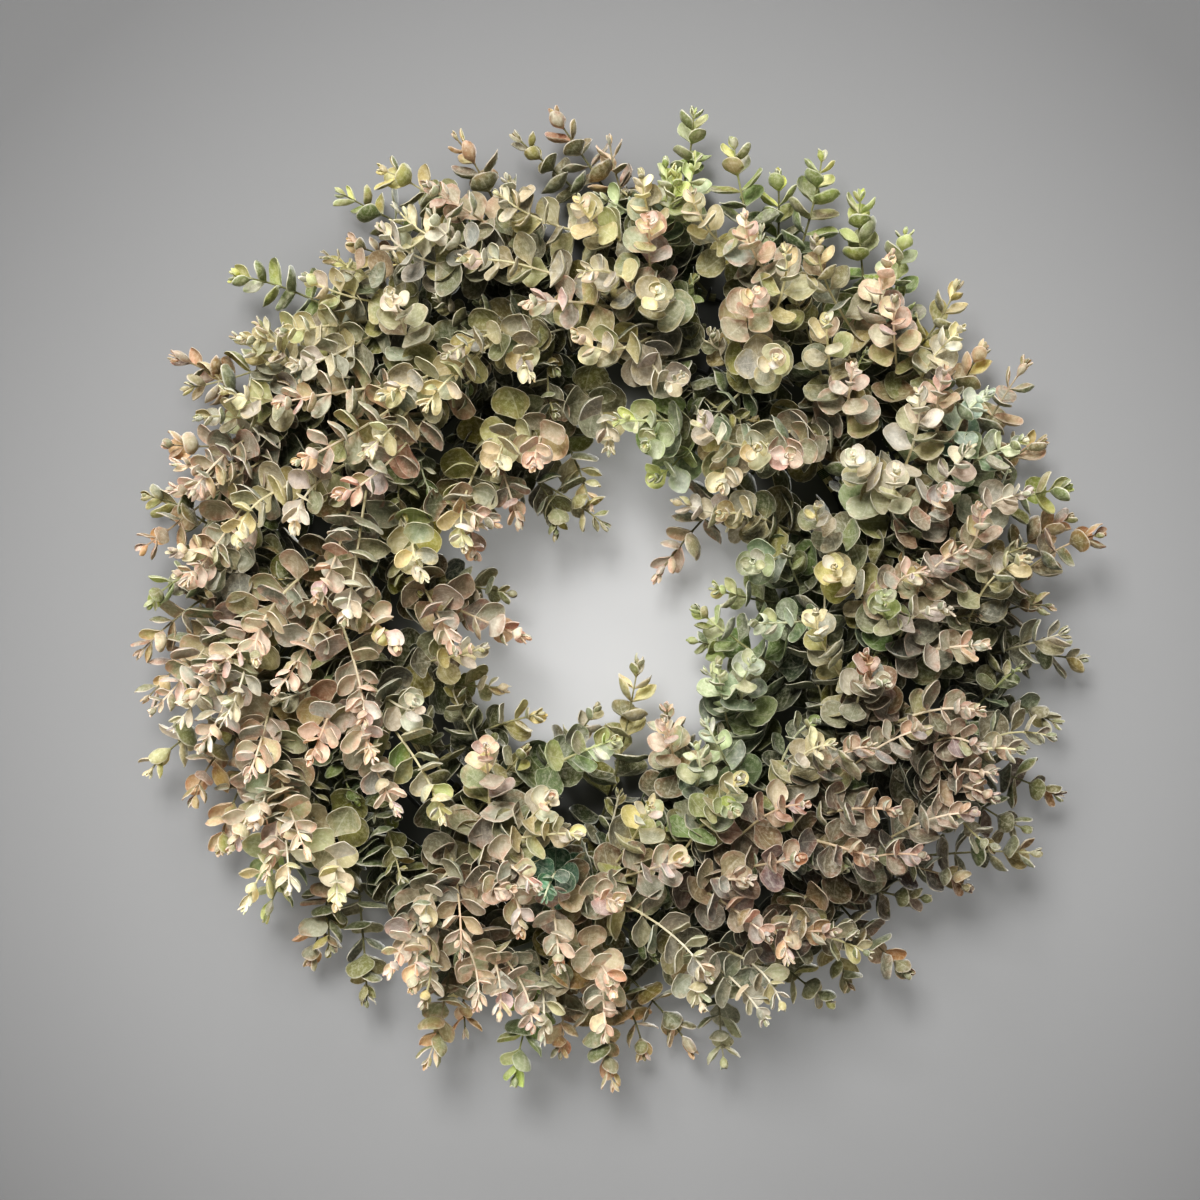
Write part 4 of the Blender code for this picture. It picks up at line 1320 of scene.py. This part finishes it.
@dataclass(frozen=True)
class WireFrame:
    """The welded frame in round wire: rails rolled to rings, bent struts, and a prong over each bunch."""

    rail_points: int = 160
    rail_sides: int = 10
    sides: int = 8
    bend_points: int = 5
    strut_bend: float = 5.0 * MM
    weld_half: float = 1.9 * MM
    weld_radii: tuple[float, ...] = (0.90, 1.25, 1.35, 1.25, 0.90)
    prong_wire: float = 0.9 * MM
    prong_bend: float = 1.8 * MM
    prong_side: float = 6.0 * MM
    prong_tail: float = 2.0 * MM
    prong_from_tail: float = 5.0 * MM
    prong_clear: float = 0.4 * MM
    prong_half: float = 0.62 * MM
    black: Colour = srgb(34, 34, 35)

    def rounded(self, corners: Array, reach: float) -> Array:
        """A bent wire's middle line: straight runs with each corner a curve (1-s)^2 p + 2s(1-s) q + s^2 r.

        Args:
            corners: Corner points, one a row.
            reach: How far from a corner its curve starts.

        Returns:
            Points along the wire.
        """
        shares = np.linspace(0.0, 1.0, self.bend_points)[:, None]
        runs = [corners[:1]]
        for before, corner, after in zip(corners, corners[1:], corners[2:]):
            start = corner + unit(before - corner) * reach
            end = corner + unit(after - corner) * reach
            runs.append((1 - shares) ** 2 * start + 2 * shares * (1 - shares) * corner + shares**2 * end)
        runs.append(corners[-1:])
        return np.concatenate(runs)

    def prong(self, bunch: Bunch) -> Array:
        """The wire that is bent from the rail over the gathered stems.

        Args:
            bunch: The bunch that it clamps.

        Returns:
            Its corners, one a row.
        """
        angle = bunch.angle - bunch.turn + self.prong_from_tail / bunch.row.radius
        outward, _, forward = RING.axes(angle)
        start = RING.round(angle, bunch.row.radius * RING.flat, bunch.row.depth)
        side = start + self.prong_side * outward
        rise = RING.wire + bunch.seat + 2.0 * (bunch.tail_half + self.prong_clear + self.prong_half)
        end = start - self.prong_tail * outward
        return np.array([start, side, side + rise * forward, end + rise * forward])

    def piece(self, bunches: Iterable[Bunch], material: bpy.types.Material) -> bpy.types.Object:
        """The whole frame as one piece.

        Args:
            bunches: The bunches that it clamps.
            material: The wire's material.

        Returns:
            The finished piece.
        """
        tubes = TubeSet()
        middle = 0.5 * (1.0 + RING.flat)
        turns = np.arange(self.rail_points) * TURN / self.rail_points
        rails = ((RING.outer, RING.back), (RING.crown, RING.crown_depth), (RING.inner, RING.back))
        for radius, depth in rails:
            path = RING.round(turns, radius * middle, depth)
            tubes.add(path, RING.wire, self.rail_sides, self.black, closed=True)
        weld = np.linspace(-self.weld_half, self.weld_half, len(self.weld_radii))[:, None]
        weld_radii = RING.wire * np.array(self.weld_radii)
        for i in range(RING.struts):
            angle = (i + 0.5) * TURN / RING.struts
            _, along, _ = RING.axes(angle)
            corners = np.stack([RING.round(angle, radius * middle, depth) for radius, depth in rails])
            tubes.add(self.rounded(corners, self.strut_bend), RING.strut_wire, self.sides, self.black)
            for corner in corners:
                tubes.add(corner + along * weld, weld_radii, self.sides, self.black)
        for bunch in bunches:
            prong = self.rounded(self.prong(bunch), self.prong_bend)
            tubes.add(prong, self.prong_wire, self.sides, self.black)
        return tubes.piece("wire_frame_rolled", material)


class NodeTree:
    """A small helper that adds and joins the nodes of a material, a group or a world."""

    def __init__(self, tree: bpy.types.NodeTree) -> None:
        """Takes the tree."""
        self.tree = tree

    def feed(self, node: bpy.types.Node, inputs: Feed) -> None:
        """Fills inputs of a node.

        Args:
            node: The node.
            inputs: By an input's name or number, a socket to link, a number, a colour or a vector.
        """
        for key, value in inputs.items():
            socket = node.inputs[key]
            if isinstance(value, bpy.types.NodeSocket):
                self.tree.links.new(value, socket)
            elif socket.type == "RGBA":
                socket.default_value = (*value, 1.0)
            else:
                socket.default_value = value

    def node(self, kind: str, inputs: Feed | None = None, **settings: object) -> bpy.types.Node:
        """Adds a node.

        Args:
            kind: Its type's name.
            inputs: What its inputs take, as for feed.
            **settings: Its own properties.

        Returns:
            The node.
        """
        made = self.tree.nodes.new(kind)
        for name, value in settings.items():
            setattr(made, name, value)
        self.feed(made, inputs or {})
        return made

    def place(self) -> bpy.types.NodeSocket:
        """The place on the object, in its own coordinates."""
        return self.node("ShaderNodeTexCoord").outputs["Object"]

    def math(self, operation: str, first: Value, second: Value = 0.0) -> bpy.types.NodeSocket:
        """A Math node of one or two values."""
        return self.node("ShaderNodeMath", {0: first, 1: second}, operation=operation).outputs[0]

    def times(self, first: Value, second: Value) -> bpy.types.NodeSocket:
        """The product of two values."""
        return self.math("MULTIPLY", first, second)

    def rest(self, share: Value) -> bpy.types.NodeSocket:
        """One minus a share."""
        return self.math("SUBTRACT", 1.0, share)

    def ramp(self, value: bpy.types.NodeSocket, low: float, high: float) -> bpy.types.NodeSocket:
        """A smooth rise from 0 at low to 1 at high."""
        given = {"Value": value, "From Min": low, "From Max": high}
        return self.node("ShaderNodeMapRange", given, interpolation_type="SMOOTHSTEP").outputs["Result"]

    def noise(self, vector: bpy.types.NodeSocket, scale: float, detail: float) -> bpy.types.NodeSocket:
        """A Noise node's value at a scale."""
        given = {"Vector": vector, "Scale": scale, "Detail": detail}
        return self.node("ShaderNodeTexNoise", given).outputs["Fac"]

    def mix(self, share: Value, first: Value, second: Value, blend: str = "MIX") -> bpy.types.NodeSocket:
        """A colour Mix node, whose colour inputs are numbers 6 and 7."""
        given = {0: share, 6: first, 7: second}
        return self.node("ShaderNodeMix", given, data_type="RGBA", blend_type=blend).outputs[2]


def new_material(name: str) -> tuple[bpy.types.Material, NodeTree, bpy.types.Node]:
    """Starts a material.

    Args:
        name: Its name.

    Returns:
        The material, its nodes and its Principled shader.
    """
    made = bpy.data.materials.new(name)
    made.use_nodes = True
    return made, NodeTree(made.node_tree), made.node_tree.nodes["Principled BSDF"]


class Socket(Enum):
    """What a socket of a node group carries."""

    COLOUR = "NodeSocketColor"
    VALUE = "NodeSocketFloat"
    VECTOR = "NodeSocketVector"


@dataclass(frozen=True)
class Effect:
    """An effect on a finish: a node group that is built once and placed in each material."""

    name: str
    inputs: tuple[tuple[str, Socket], ...]
    outputs: tuple[tuple[str, Socket], ...]

    def group(self) -> bpy.types.NodeTree:
        """The group, built at its first use.

        Returns:
            The group's tree.
        """
        if self.name in bpy.data.node_groups:
            return bpy.data.node_groups[self.name]
        tree = bpy.data.node_groups.new(self.name, "ShaderNodeTree")
        for way, sockets in (("INPUT", self.inputs), ("OUTPUT", self.outputs)):
            for name, socket in sockets:
                tree.interface.new_socket(name, in_out=way, socket_type=socket.value)
        nodes = NodeTree(tree)
        given = nodes.node("NodeGroupInput").outputs
        nodes.feed(nodes.node("NodeGroupOutput"), self.results(nodes, given))
        return tree

    def results(self, nodes: NodeTree, given: Outputs) -> Feed:
        """Lays the nodes of the effect.

        Args:
            nodes: The group's nodes.
            given: The group's inputs.

        Returns:
            What the group puts out, by name.
        """
        raise NotImplementedError


@dataclass(frozen=True)
class DustyBloom(Effect):
    """Dusty bloom: soft mottling over a colour, fine specks, and a roughness and height to match.

    Each of its three noises is a scale and a detail.
    """

    name: str = "dusty_bloom"
    inputs: tuple[tuple[str, Socket], ...] = (
        ("Colour", Socket.COLOUR), ("Bloom", Socket.COLOUR),
        ("Amount", Socket.VALUE), ("Dark", Socket.VALUE),
    )
    outputs: tuple[tuple[str, Socket], ...] = (
        ("Colour", Socket.COLOUR), ("Roughness", Socket.VALUE), ("Height", Socket.VALUE),
    )
    broad: Pair = (120.0, 3.0)
    blots: Pair = (420.0, 4.0)
    specks: Pair = (1500.0, 2.0)
    dark_ends: Pair = (0.46, 0.70)
    blot_ends: Pair = (0.42, 0.70)
    speck_ends: Pair = (0.54, 0.74)
    dark_tint: Colour = (0.30, 0.29, 0.22)
    light_tint: Colour = (1.5, 1.48, 1.42)
    bloom_share: float = 0.40
    roughness: Pair = (0.50, 0.78)
    speck_height: float = 0.4

    def results(self, nodes: NodeTree, given: Outputs) -> Feed:
        """Three sizes of noise darken the colour in wide patches and lay bloom in blots and specks.

        Args:
            nodes: The group's nodes.
            given: A colour, the bloom's colour, its amount, and how dark the patches are.

        Returns:
            The colour, its roughness and its height.
        """
        place = nodes.place()
        broad, blots, specks = (
            nodes.noise(place, *noise) for noise in (self.broad, self.blots, self.specks)
        )
        dark = nodes.times(nodes.ramp(broad, *self.dark_ends), given["Dark"])
        darker = nodes.mix(dark, given["Colour"], self.dark_tint, "MULTIPLY")
        lighter = nodes.mix(1.0, given["Colour"], self.light_tint, "MULTIPLY")
        bloom = nodes.mix(self.bloom_share, lighter, given["Bloom"])
        share = nodes.times(nodes.ramp(blots, *self.blot_ends), given["Amount"])
        fine = nodes.times(nodes.ramp(specks, *self.speck_ends), given["Amount"])
        rough = {"Value": blots, "To Min": self.roughness[0], "To Max": self.roughness[1]}
        return {
            "Colour": nodes.mix(fine, nodes.mix(share, darker, bloom), bloom),
            "Roughness": nodes.node("ShaderNodeMapRange", rough).outputs["Result"],
            "Height": nodes.math("ADD", blots, nodes.times(specks, self.speck_height)),
        }


@dataclass(frozen=True)
class LeafMarks(Effect):
    """Marks that follow a leaf: the pale rim, the blush towards it, the middle rib and side veins."""

    name: str = "leaf_marks"
    inputs: tuple[tuple[str, Socket], ...] = (("Place", Socket.VECTOR),)
    outputs: tuple[tuple[str, Socket], ...] = (
        ("Rim", Socket.VALUE), ("Edge", Socket.VALUE), ("Rib", Socket.VALUE), ("Back", Socket.VALUE),
    )
    rim_ends: Pair = (0.91, 1.0)
    edge_ends: Pair = (0.35, 1.0)
    rib_half: float = 0.07
    rib_fade: Pair = (0.25, 0.95)
    vein_slant: float = 1.3
    vein_turns: float = 7.5
    vein_half: float = 0.20
    vein_most: float = 0.35
    vein_fade: float = 0.3
    back_ends: Pair = (0.2, -0.2)

    def results(self, nodes: NodeTree, given: Outputs) -> Feed:
        """The rib is a band along the middle, and the veins are the zeros of a slanted wave.

        Args:
            nodes: The group's nodes.
            given: The place on the leaf.

        Returns:
            Masks of the rim, the edge, the rib with its veins, and the back.
        """
        x, y, side = nodes.node("ShaderNodeSeparateXYZ", {0: given["Place"]}).outputs
        across = nodes.math("ABSOLUTE", y)
        radius = nodes.math("SQRT", nodes.math("ADD", nodes.times(x, x), nodes.times(y, y)))
        middle = nodes.rest(nodes.ramp(across, 0.0, self.rib_half))
        fade = nodes.rest(nodes.ramp(x, *self.rib_fade))
        slant = nodes.math("SUBTRACT", nodes.times(across, self.vein_slant), x)
        waves = nodes.math("ABSOLUTE", nodes.math("SINE", nodes.times(slant, self.vein_turns)))
        veins = nodes.rest(nodes.ramp(waves, 0.0, self.vein_half))
        most = nodes.math("SUBTRACT", self.vein_most, nodes.times(across, self.vein_fade))
        return {
            "Rim": nodes.ramp(radius, *self.rim_ends),
            "Edge": nodes.ramp(radius, *self.edge_ends),
            "Rib": nodes.math("MAXIMUM", nodes.times(middle, fade), nodes.times(veins, most)),
            "Back": nodes.ramp(side, *self.back_ends),
        }


@dataclass(frozen=True, kw_only=True)
class Finish:
    """What all finishes of the wreath share: bloom over a colour, and fine bumps."""

    name: str
    bloom: Colour
    bloom_amount: float
    dark_amount: float
    bump: float
    bump_reach: float = 0.3 * MM
    specular: float

    def dusted(self, nodes: NodeTree, colour: bpy.types.NodeSocket) -> Outputs:
        """Lays the bloom over a colour.

        Args:
            nodes: The material's nodes.
            colour: The bare colour.

        Returns:
            The dusted Colour, its Roughness and its Height.
        """
        amounts = {"Amount": self.bloom_amount, "Dark": self.dark_amount}
        given = {"Colour": colour, "Bloom": self.bloom, **amounts}
        return nodes.node("ShaderNodeGroup", given, node_tree=DustyBloom().group()).outputs

    def bumps(self, nodes: NodeTree, height: bpy.types.NodeSocket) -> bpy.types.NodeSocket:
        """Normals of fine bumps of a height."""
        given = {"Strength": self.bump, "Distance": self.bump_reach, "Height": height}
        return nodes.node("ShaderNodeBump", given).outputs["Normal"]


@dataclass(frozen=True, kw_only=True)
class LeafFinish(Finish):
    """Moulded leaf: dusty, matt, with a pale rim, a soft rib, and a blush towards its edge.

    Rim and blush come in blots, whose noise is a scale and a detail.
    """

    bloom: Colour = srgb(211, 207, 192)
    bloom_amount: float = 0.50
    dark_amount: float = 0.42
    bump: float = 0.25
    specular: float = 0.42
    sheen: float = 0.12
    rim: Colour = srgb(227, 221, 203)
    rim_amount: float = 0.44
    rim_least: float = 0.35
    rim_blots: Pair = (0.30, 0.60)
    back: Colour = srgb(76, 88, 46)
    back_amount: float = 0.8
    blush_amount: float = 0.55
    blush_blots: Pair = (0.35, 0.65)
    blots: Pair = (160.0, 2.0)
    rib_amount: float = 0.16
    rib_depth: float = 0.8

    def material(self) -> bpy.types.Material:
        """The leaves' material: own colour, blush, dark back, bloom, and then rib and rim.

        Returns:
            The material.
        """
        made, nodes, shader = new_material(self.name)
        own, blush, place = (
            nodes.node("ShaderNodeAttribute", attribute_name=name).outputs
            for name in ("leaf_colour", "leaf_blush", "leaf_place")
        )
        given = {"Place": place["Vector"]}
        marks = nodes.node("ShaderNodeGroup", given, node_tree=LeafMarks().group()).outputs
        blot = nodes.noise(nodes.place(), *self.blots)
        reach = nodes.times(marks["Edge"], nodes.ramp(blot, *self.blush_blots))
        colour = nodes.mix(nodes.times(reach, self.blush_amount), own["Color"], blush["Color"])
        bare = nodes.times(marks["Back"], nodes.times(own["Alpha"], self.back_amount))
        dust = self.dusted(nodes, nodes.mix(bare, colour, self.back))
        ribbed = nodes.mix(nodes.times(marks["Rib"], self.rib_amount), dust["Colour"], self.rim)
        uneven = nodes.times(nodes.ramp(blot, *self.rim_blots), own["Alpha"])
        rim = nodes.times(marks["Rim"], nodes.math("ADD", self.rim_least, uneven))
        height = nodes.math("SUBTRACT", dust["Height"], nodes.times(marks["Rib"], self.rib_depth))
        nodes.feed(shader, {
            "Base Color": nodes.mix(nodes.times(rim, self.rim_amount), ribbed, self.rim),
            "Roughness": dust["Roughness"],
            "Normal": self.bumps(nodes, height),
            "Specular IOR Level": self.specular,
            "Sheen Weight": self.sheen,
        })
        return made


@dataclass(frozen=True, kw_only=True)
class TubeFinish(Finish):
    """A finish for stems and wires, whose colour comes from their own points."""

    metallic: float = 0.0

    def material(self) -> bpy.types.Material:
        """The material: the points' colour under bloom.

        Returns:
            The material.
        """
        made, nodes, shader = new_material(self.name)
        own = nodes.node("ShaderNodeAttribute", attribute_name="tube_colour")
        dust = self.dusted(nodes, own.outputs["Color"])
        nodes.feed(shader, {
            "Base Color": dust["Colour"],
            "Roughness": dust["Roughness"],
            "Normal": self.bumps(nodes, dust["Height"]),
            "Metallic": self.metallic,
            "Specular IOR Level": self.specular,
        })
        return made


BLACK_WIRE = TubeFinish(
    name="black_wire", bloom=srgb(90, 88, 84), bloom_amount=0.12, dark_amount=0.2,
    bump=0.12, specular=0.5, metallic=0.55,
)
STEM_SKIN = TubeFinish(
    name="stem_skin", bloom=srgb(188, 178, 142), bloom_amount=0.25, dark_amount=0.35,
    bump=0.3, specular=0.3,
)


@dataclass(frozen=True)
class Lamp:
    """A square soft light: its place from the ring's middle, its side, its power and its colour."""

    name: str
    place: Vector
    size: float
    power: float
    colour: Colour

    def build(self) -> None:
        """Hangs the light, facing the middle of the ring."""
        data = bpy.data.lights.new(self.name, "AREA")
        data.size = self.size
        data.energy = self.power
        data.color = self.colour
        lamp = bpy.data.objects.new(self.name, data)
        lamp.visible_camera = False
        lamp.location = np.array([0.0, 0.0, RING.middle_height]) + np.array(self.place)
        away = lamp.location.copy()
        away.z -= RING.middle_height
        lamp.rotation_euler = away.to_track_quat("Z", "Y").to_euler()
        bpy.context.scene.collection.objects.link(lamp)


LAMPS = (
    Lamp("key_light", (-1.20, -5.4, 2.90), 2.4, 600.0, (1.0, 0.99, 0.97)),
    Lamp("top_light", (-0.90, -2.4, 4.4), 2.2, 160.0, (1.0, 0.99, 0.97)),
    Lamp("fill_light", (1.8, -4.5, -0.9), 3.0, 30.0, (0.98, 0.99, 1.0)),
    Lamp("back_light", (0.9, 3.0, 1.2), 2.4, 230.0, (1.0, 1.0, 1.0)),
)


@dataclass(frozen=True)
class Studio:
    """The camera at the photograph's angle, soft light, a pale floor and a grey backdrop with painted light
    and shade.

    The wall's greys, a pool of painted light, are a distance from its centre and a grey of 0 to 255. The
    contrast is points of a curve over the picture's values, the curve whose number stands for all channels.
    """

    scale: float = 0.62 * MM
    picture: int = 1200
    ring_column: int = 615
    lens: float = 100.0
    sensor: float = 36.0
    focus_depth: float = 80.0 * MM
    half_width: float = 3.0
    wall_gap: float = 0.4 * MM
    wall_top: float = 3.0
    # Painted light: the backdrop lightest in the middle and darker towards its edges
    painted_light_greys: tuple[tuple[float, int], ...] = (
        (0.0, 190), (0.08, 180), (0.20, 152), (0.36, 135), (0.53, 110), (0.75, 98), (1.1, 92),
    )
    painted_light_centre: Pair = (0.0, -0.045)
    painted_light_reach: float = 1.2
    # The paper's lit share, lowered to leave room for its painted glow
    lit: Colour = (0.60, 0.605, 0.615)
    # Painted light: the paper glows in the hole and outside the ring, where the wreath leaves it bare,
    # which lightens the wreath's shadow
    painted_glow: float = 0.38
    painted_glow_centre: Pair = (-0.012, 0.012)
    painted_glow_ends: tuple[Pair, Pair] = ((0.130, 0.092), (0.235, 0.300))
    # Painted shade: behind the foliage the paper goes a share of the way to black
    painted_shade_ends: tuple[Pair, Pair] = ((0.135, 0.105), (0.210, 0.245))
    behind: float = 0.6
    black: Colour = (0.0, 0.0, 0.0)
    paper_roughness: float = 0.9
    paper_specular: float = 0.1
    floor_drop: float = 1.1
    floor_behind: float = 2.0
    floor_front: float = 4.0
    floor_colour: Colour = srgb(168, 167, 164)
    sky: float = 0.26
    sky_colour: Colour = (0.82, 0.80, 0.77)
    sky_ends: Pair = (0.25, -0.15)
    contrast: tuple[Pair, ...] = ((0.03, 0.018), (0.10, 0.084), (0.30, 0.31))
    all_channels: int = 3

    def camera(self) -> None:
        """Sets the camera straight on, so that the ring's middle falls where the photograph has it."""
        data = bpy.data.cameras.new("camera")
        data.lens = self.lens
        data.sensor_width = self.sensor
        distance = self.scale * self.picture * self.lens / self.sensor
        camera = bpy.data.objects.new("camera", data)
        aside = (0.5 * self.picture - self.ring_column) * self.scale
        camera.location = (aside, RING.back - self.focus_depth - distance, RING.middle_height)
        camera.rotation_euler = (math.radians(90.0), 0.0, 0.0)
        bpy.context.scene.collection.objects.link(camera)
        bpy.context.scene.camera = camera

    def grade(self) -> None:
        """Gives the picture the photograph's contrast, by a curve over all channels."""
        settings = bpy.context.scene.view_settings
        settings.view_transform = "Standard"
        settings.use_curve_mapping = True
        curve = settings.curve_mapping.curves[self.all_channels]
        for value, height in self.contrast:
            curve.points.new(value, height)
        settings.curve_mapping.update()

    @staticmethod
    def away_from(nodes: NodeTree, centre: tuple[float, float]) -> bpy.types.NodeSocket:
        """Distance from a point of the wall, given right and up from the ring's middle."""
        given = {0: nodes.place(), 1: (centre[0], 0.0, RING.middle_height + centre[1])}
        return nodes.node("ShaderNodeVectorMath", given, operation="DISTANCE").outputs["Value"]

    def wall_material(self) -> bpy.types.Material:
        """Grey paper that only shows from its front and lets the back light by, with a pool of painted
        light in the middle.

        It glows a little where the wreath leaves it bare, painted light that lightens the wreath's shadow,
        and has painted shade behind the foliage.

        Returns:
            The material.
        """
        made, nodes, shader = new_material("backdrop_paper")
        # Painted light: a pool of light on the paper, lightest in the middle
        away = nodes.math("DIVIDE", self.away_from(nodes, self.painted_light_centre), self.painted_light_reach)
        greys = nodes.node("ShaderNodeValToRGB", {"Fac": away})
        stops = greys.color_ramp.elements
        stops.remove(stops[1])
        for distance, level in self.painted_light_greys:
            stop = stops.new(distance / self.painted_light_reach) if distance else stops[0]
            stop.color = (*srgb(level, level, level), 1.0)
        grey = greys.outputs["Color"]
        # Painted glow where the wall is bare, and painted shade behind the foliage
        around = self.away_from(nodes, self.painted_glow_centre)
        in_hole, outside, open_hole, open_outside = (
            nodes.ramp(around, *ends) for ends in (*self.painted_glow_ends, *self.painted_shade_ends)
        )
        painted_wall_shade = nodes.times(nodes.rest(nodes.math("MAXIMUM", open_hole, open_outside)), self.behind)
        nodes.feed(shader, {
            "Base Color": nodes.mix(painted_wall_shade, nodes.mix(1.0, grey, self.lit, "MULTIPLY"), self.black),
            "Emission Color": grey,
            "Emission Strength": nodes.times(nodes.math("MAXIMUM", in_hole, outside), self.painted_glow),
            "Roughness": self.paper_roughness,
            "Specular IOR Level": self.paper_specular,
        })
        from_behind = nodes.node("ShaderNodeNewGeometry").outputs["Backfacing"]
        shadow = nodes.node("ShaderNodeLightPath").outputs["Is Shadow Ray"]
        clear = nodes.node("ShaderNodeBsdfTransparent")
        share = nodes.math("MAXIMUM", from_behind, shadow)
        either = nodes.node("ShaderNodeMixShader", {0: share, 1: shader.outputs[0], 2: clear.outputs[0]})
        nodes.feed(made.node_tree.nodes["Material Output"], {"Surface": either.outputs[0]})
        return made

    def floor_material(self) -> bpy.types.Material:
        """Plain pale paper.

        Returns:
            The material.
        """
        made, nodes, shader = new_material("floor_paper")
        nodes.feed(shader, {"Base Color": self.floor_colour, "Roughness": self.paper_roughness})
        return made

    def world(self) -> bpy.types.World:
        """Even grey surroundings, which light the front of the wall and not its back.

        Returns:
            The world.
        """
        made = bpy.data.worlds.new("studio")
        made.use_nodes = True
        nodes = NodeTree(made.node_tree)
        way = nodes.node("ShaderNodeTexCoord").outputs["Generated"]
        front = nodes.ramp(nodes.node("ShaderNodeSeparateXYZ", {0: way}).outputs["Y"], *self.sky_ends)
        seen = nodes.node("ShaderNodeLightPath").outputs["Is Camera Ray"]
        strength = nodes.times(nodes.math("MAXIMUM", front, seen), self.sky)
        nodes.feed(made.node_tree.nodes["Background"], {"Color": self.sky_colour, "Strength": strength})
        return made

    @staticmethod
    def stage_plane(name: str, corners: list[Vector], material: bpy.types.Material) -> None:
        """Adds a flat piece of the stage.

        Args:
            name: Its name.
            corners: Its four corners.
            material: Its material.
        """
        mesh = bpy.data.meshes.new(name)
        mesh.from_pydata(corners, [], [(0, 1, 2, 3)])
        mesh.materials.append(material)
        made = bpy.data.objects.new(name, mesh)
        bpy.context.scene.collection.objects.link(made)

    def build(self) -> None:
        """Sets up the whole stage."""
        self.camera()
        self.grade()
        bpy.context.scene.world = self.world()
        for lamp in LAMPS:
            lamp.build()
        wide, high, back = self.half_width, self.wall_top, RING.back + self.wall_gap
        floor = RING.middle_height - self.floor_drop
        wall = [(-wide, back, floor), (wide, back, floor), (wide, back, high), (-wide, back, high)]
        self.stage_plane("backdrop", wall, self.wall_material())
        near, far = -self.floor_front, back + self.floor_behind
        ground = [(-wide, far, floor), (-wide, near, floor), (wide, near, floor), (wide, far, floor)]
        self.stage_plane("floor", ground, self.floor_material())


def dress(made: bpy.types.Object, node: str) -> None:
    """Hands a finished piece to the frame.

    Args:
        made: The piece.
        node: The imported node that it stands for.
    """
    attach(made, "root")
    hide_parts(node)
    log.info("%s: %d faces", made.name, len(made.data.polygons))


def main() -> None:
    """Builds the stage, the frame and every bunch."""
    logging.basicConfig(level=logging.INFO, format="%(message)s")
    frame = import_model()
    Studio().build()
    bunches = Planting(frame["nodes"]).bunches.values()
    worst = max(stem.fit for bunch in bunches for stem in bunch.stems)
    log.info("stems follow the packed solids to %.2f mm", worst / MM)

    dress(WireFrame().piece(bunches, BLACK_WIRE.material()), "wire_frame")
    wood = STEM_SKIN.material()
    skins = {row.name: LeafFinish(name=row.slot).material() for row in ROWS}
    foliage, stem_work = Foliage(), StemWork()
    leaves = 0
    for number, bunch in enumerate(bunches):
        draw = np.random.default_rng((LEAF_SEED, number))
        piece = foliage.piece(bunch, skins[bunch.row.name], draw)
        leaves += len(piece.data.polygons) // len(LEAF.faces)
        dress(piece, bunch.name)
        dress(stem_work.piece(bunch, wood), bunch.name)
    log.info("%d leaves", leaves)


if __name__ == "__main__":
    main()
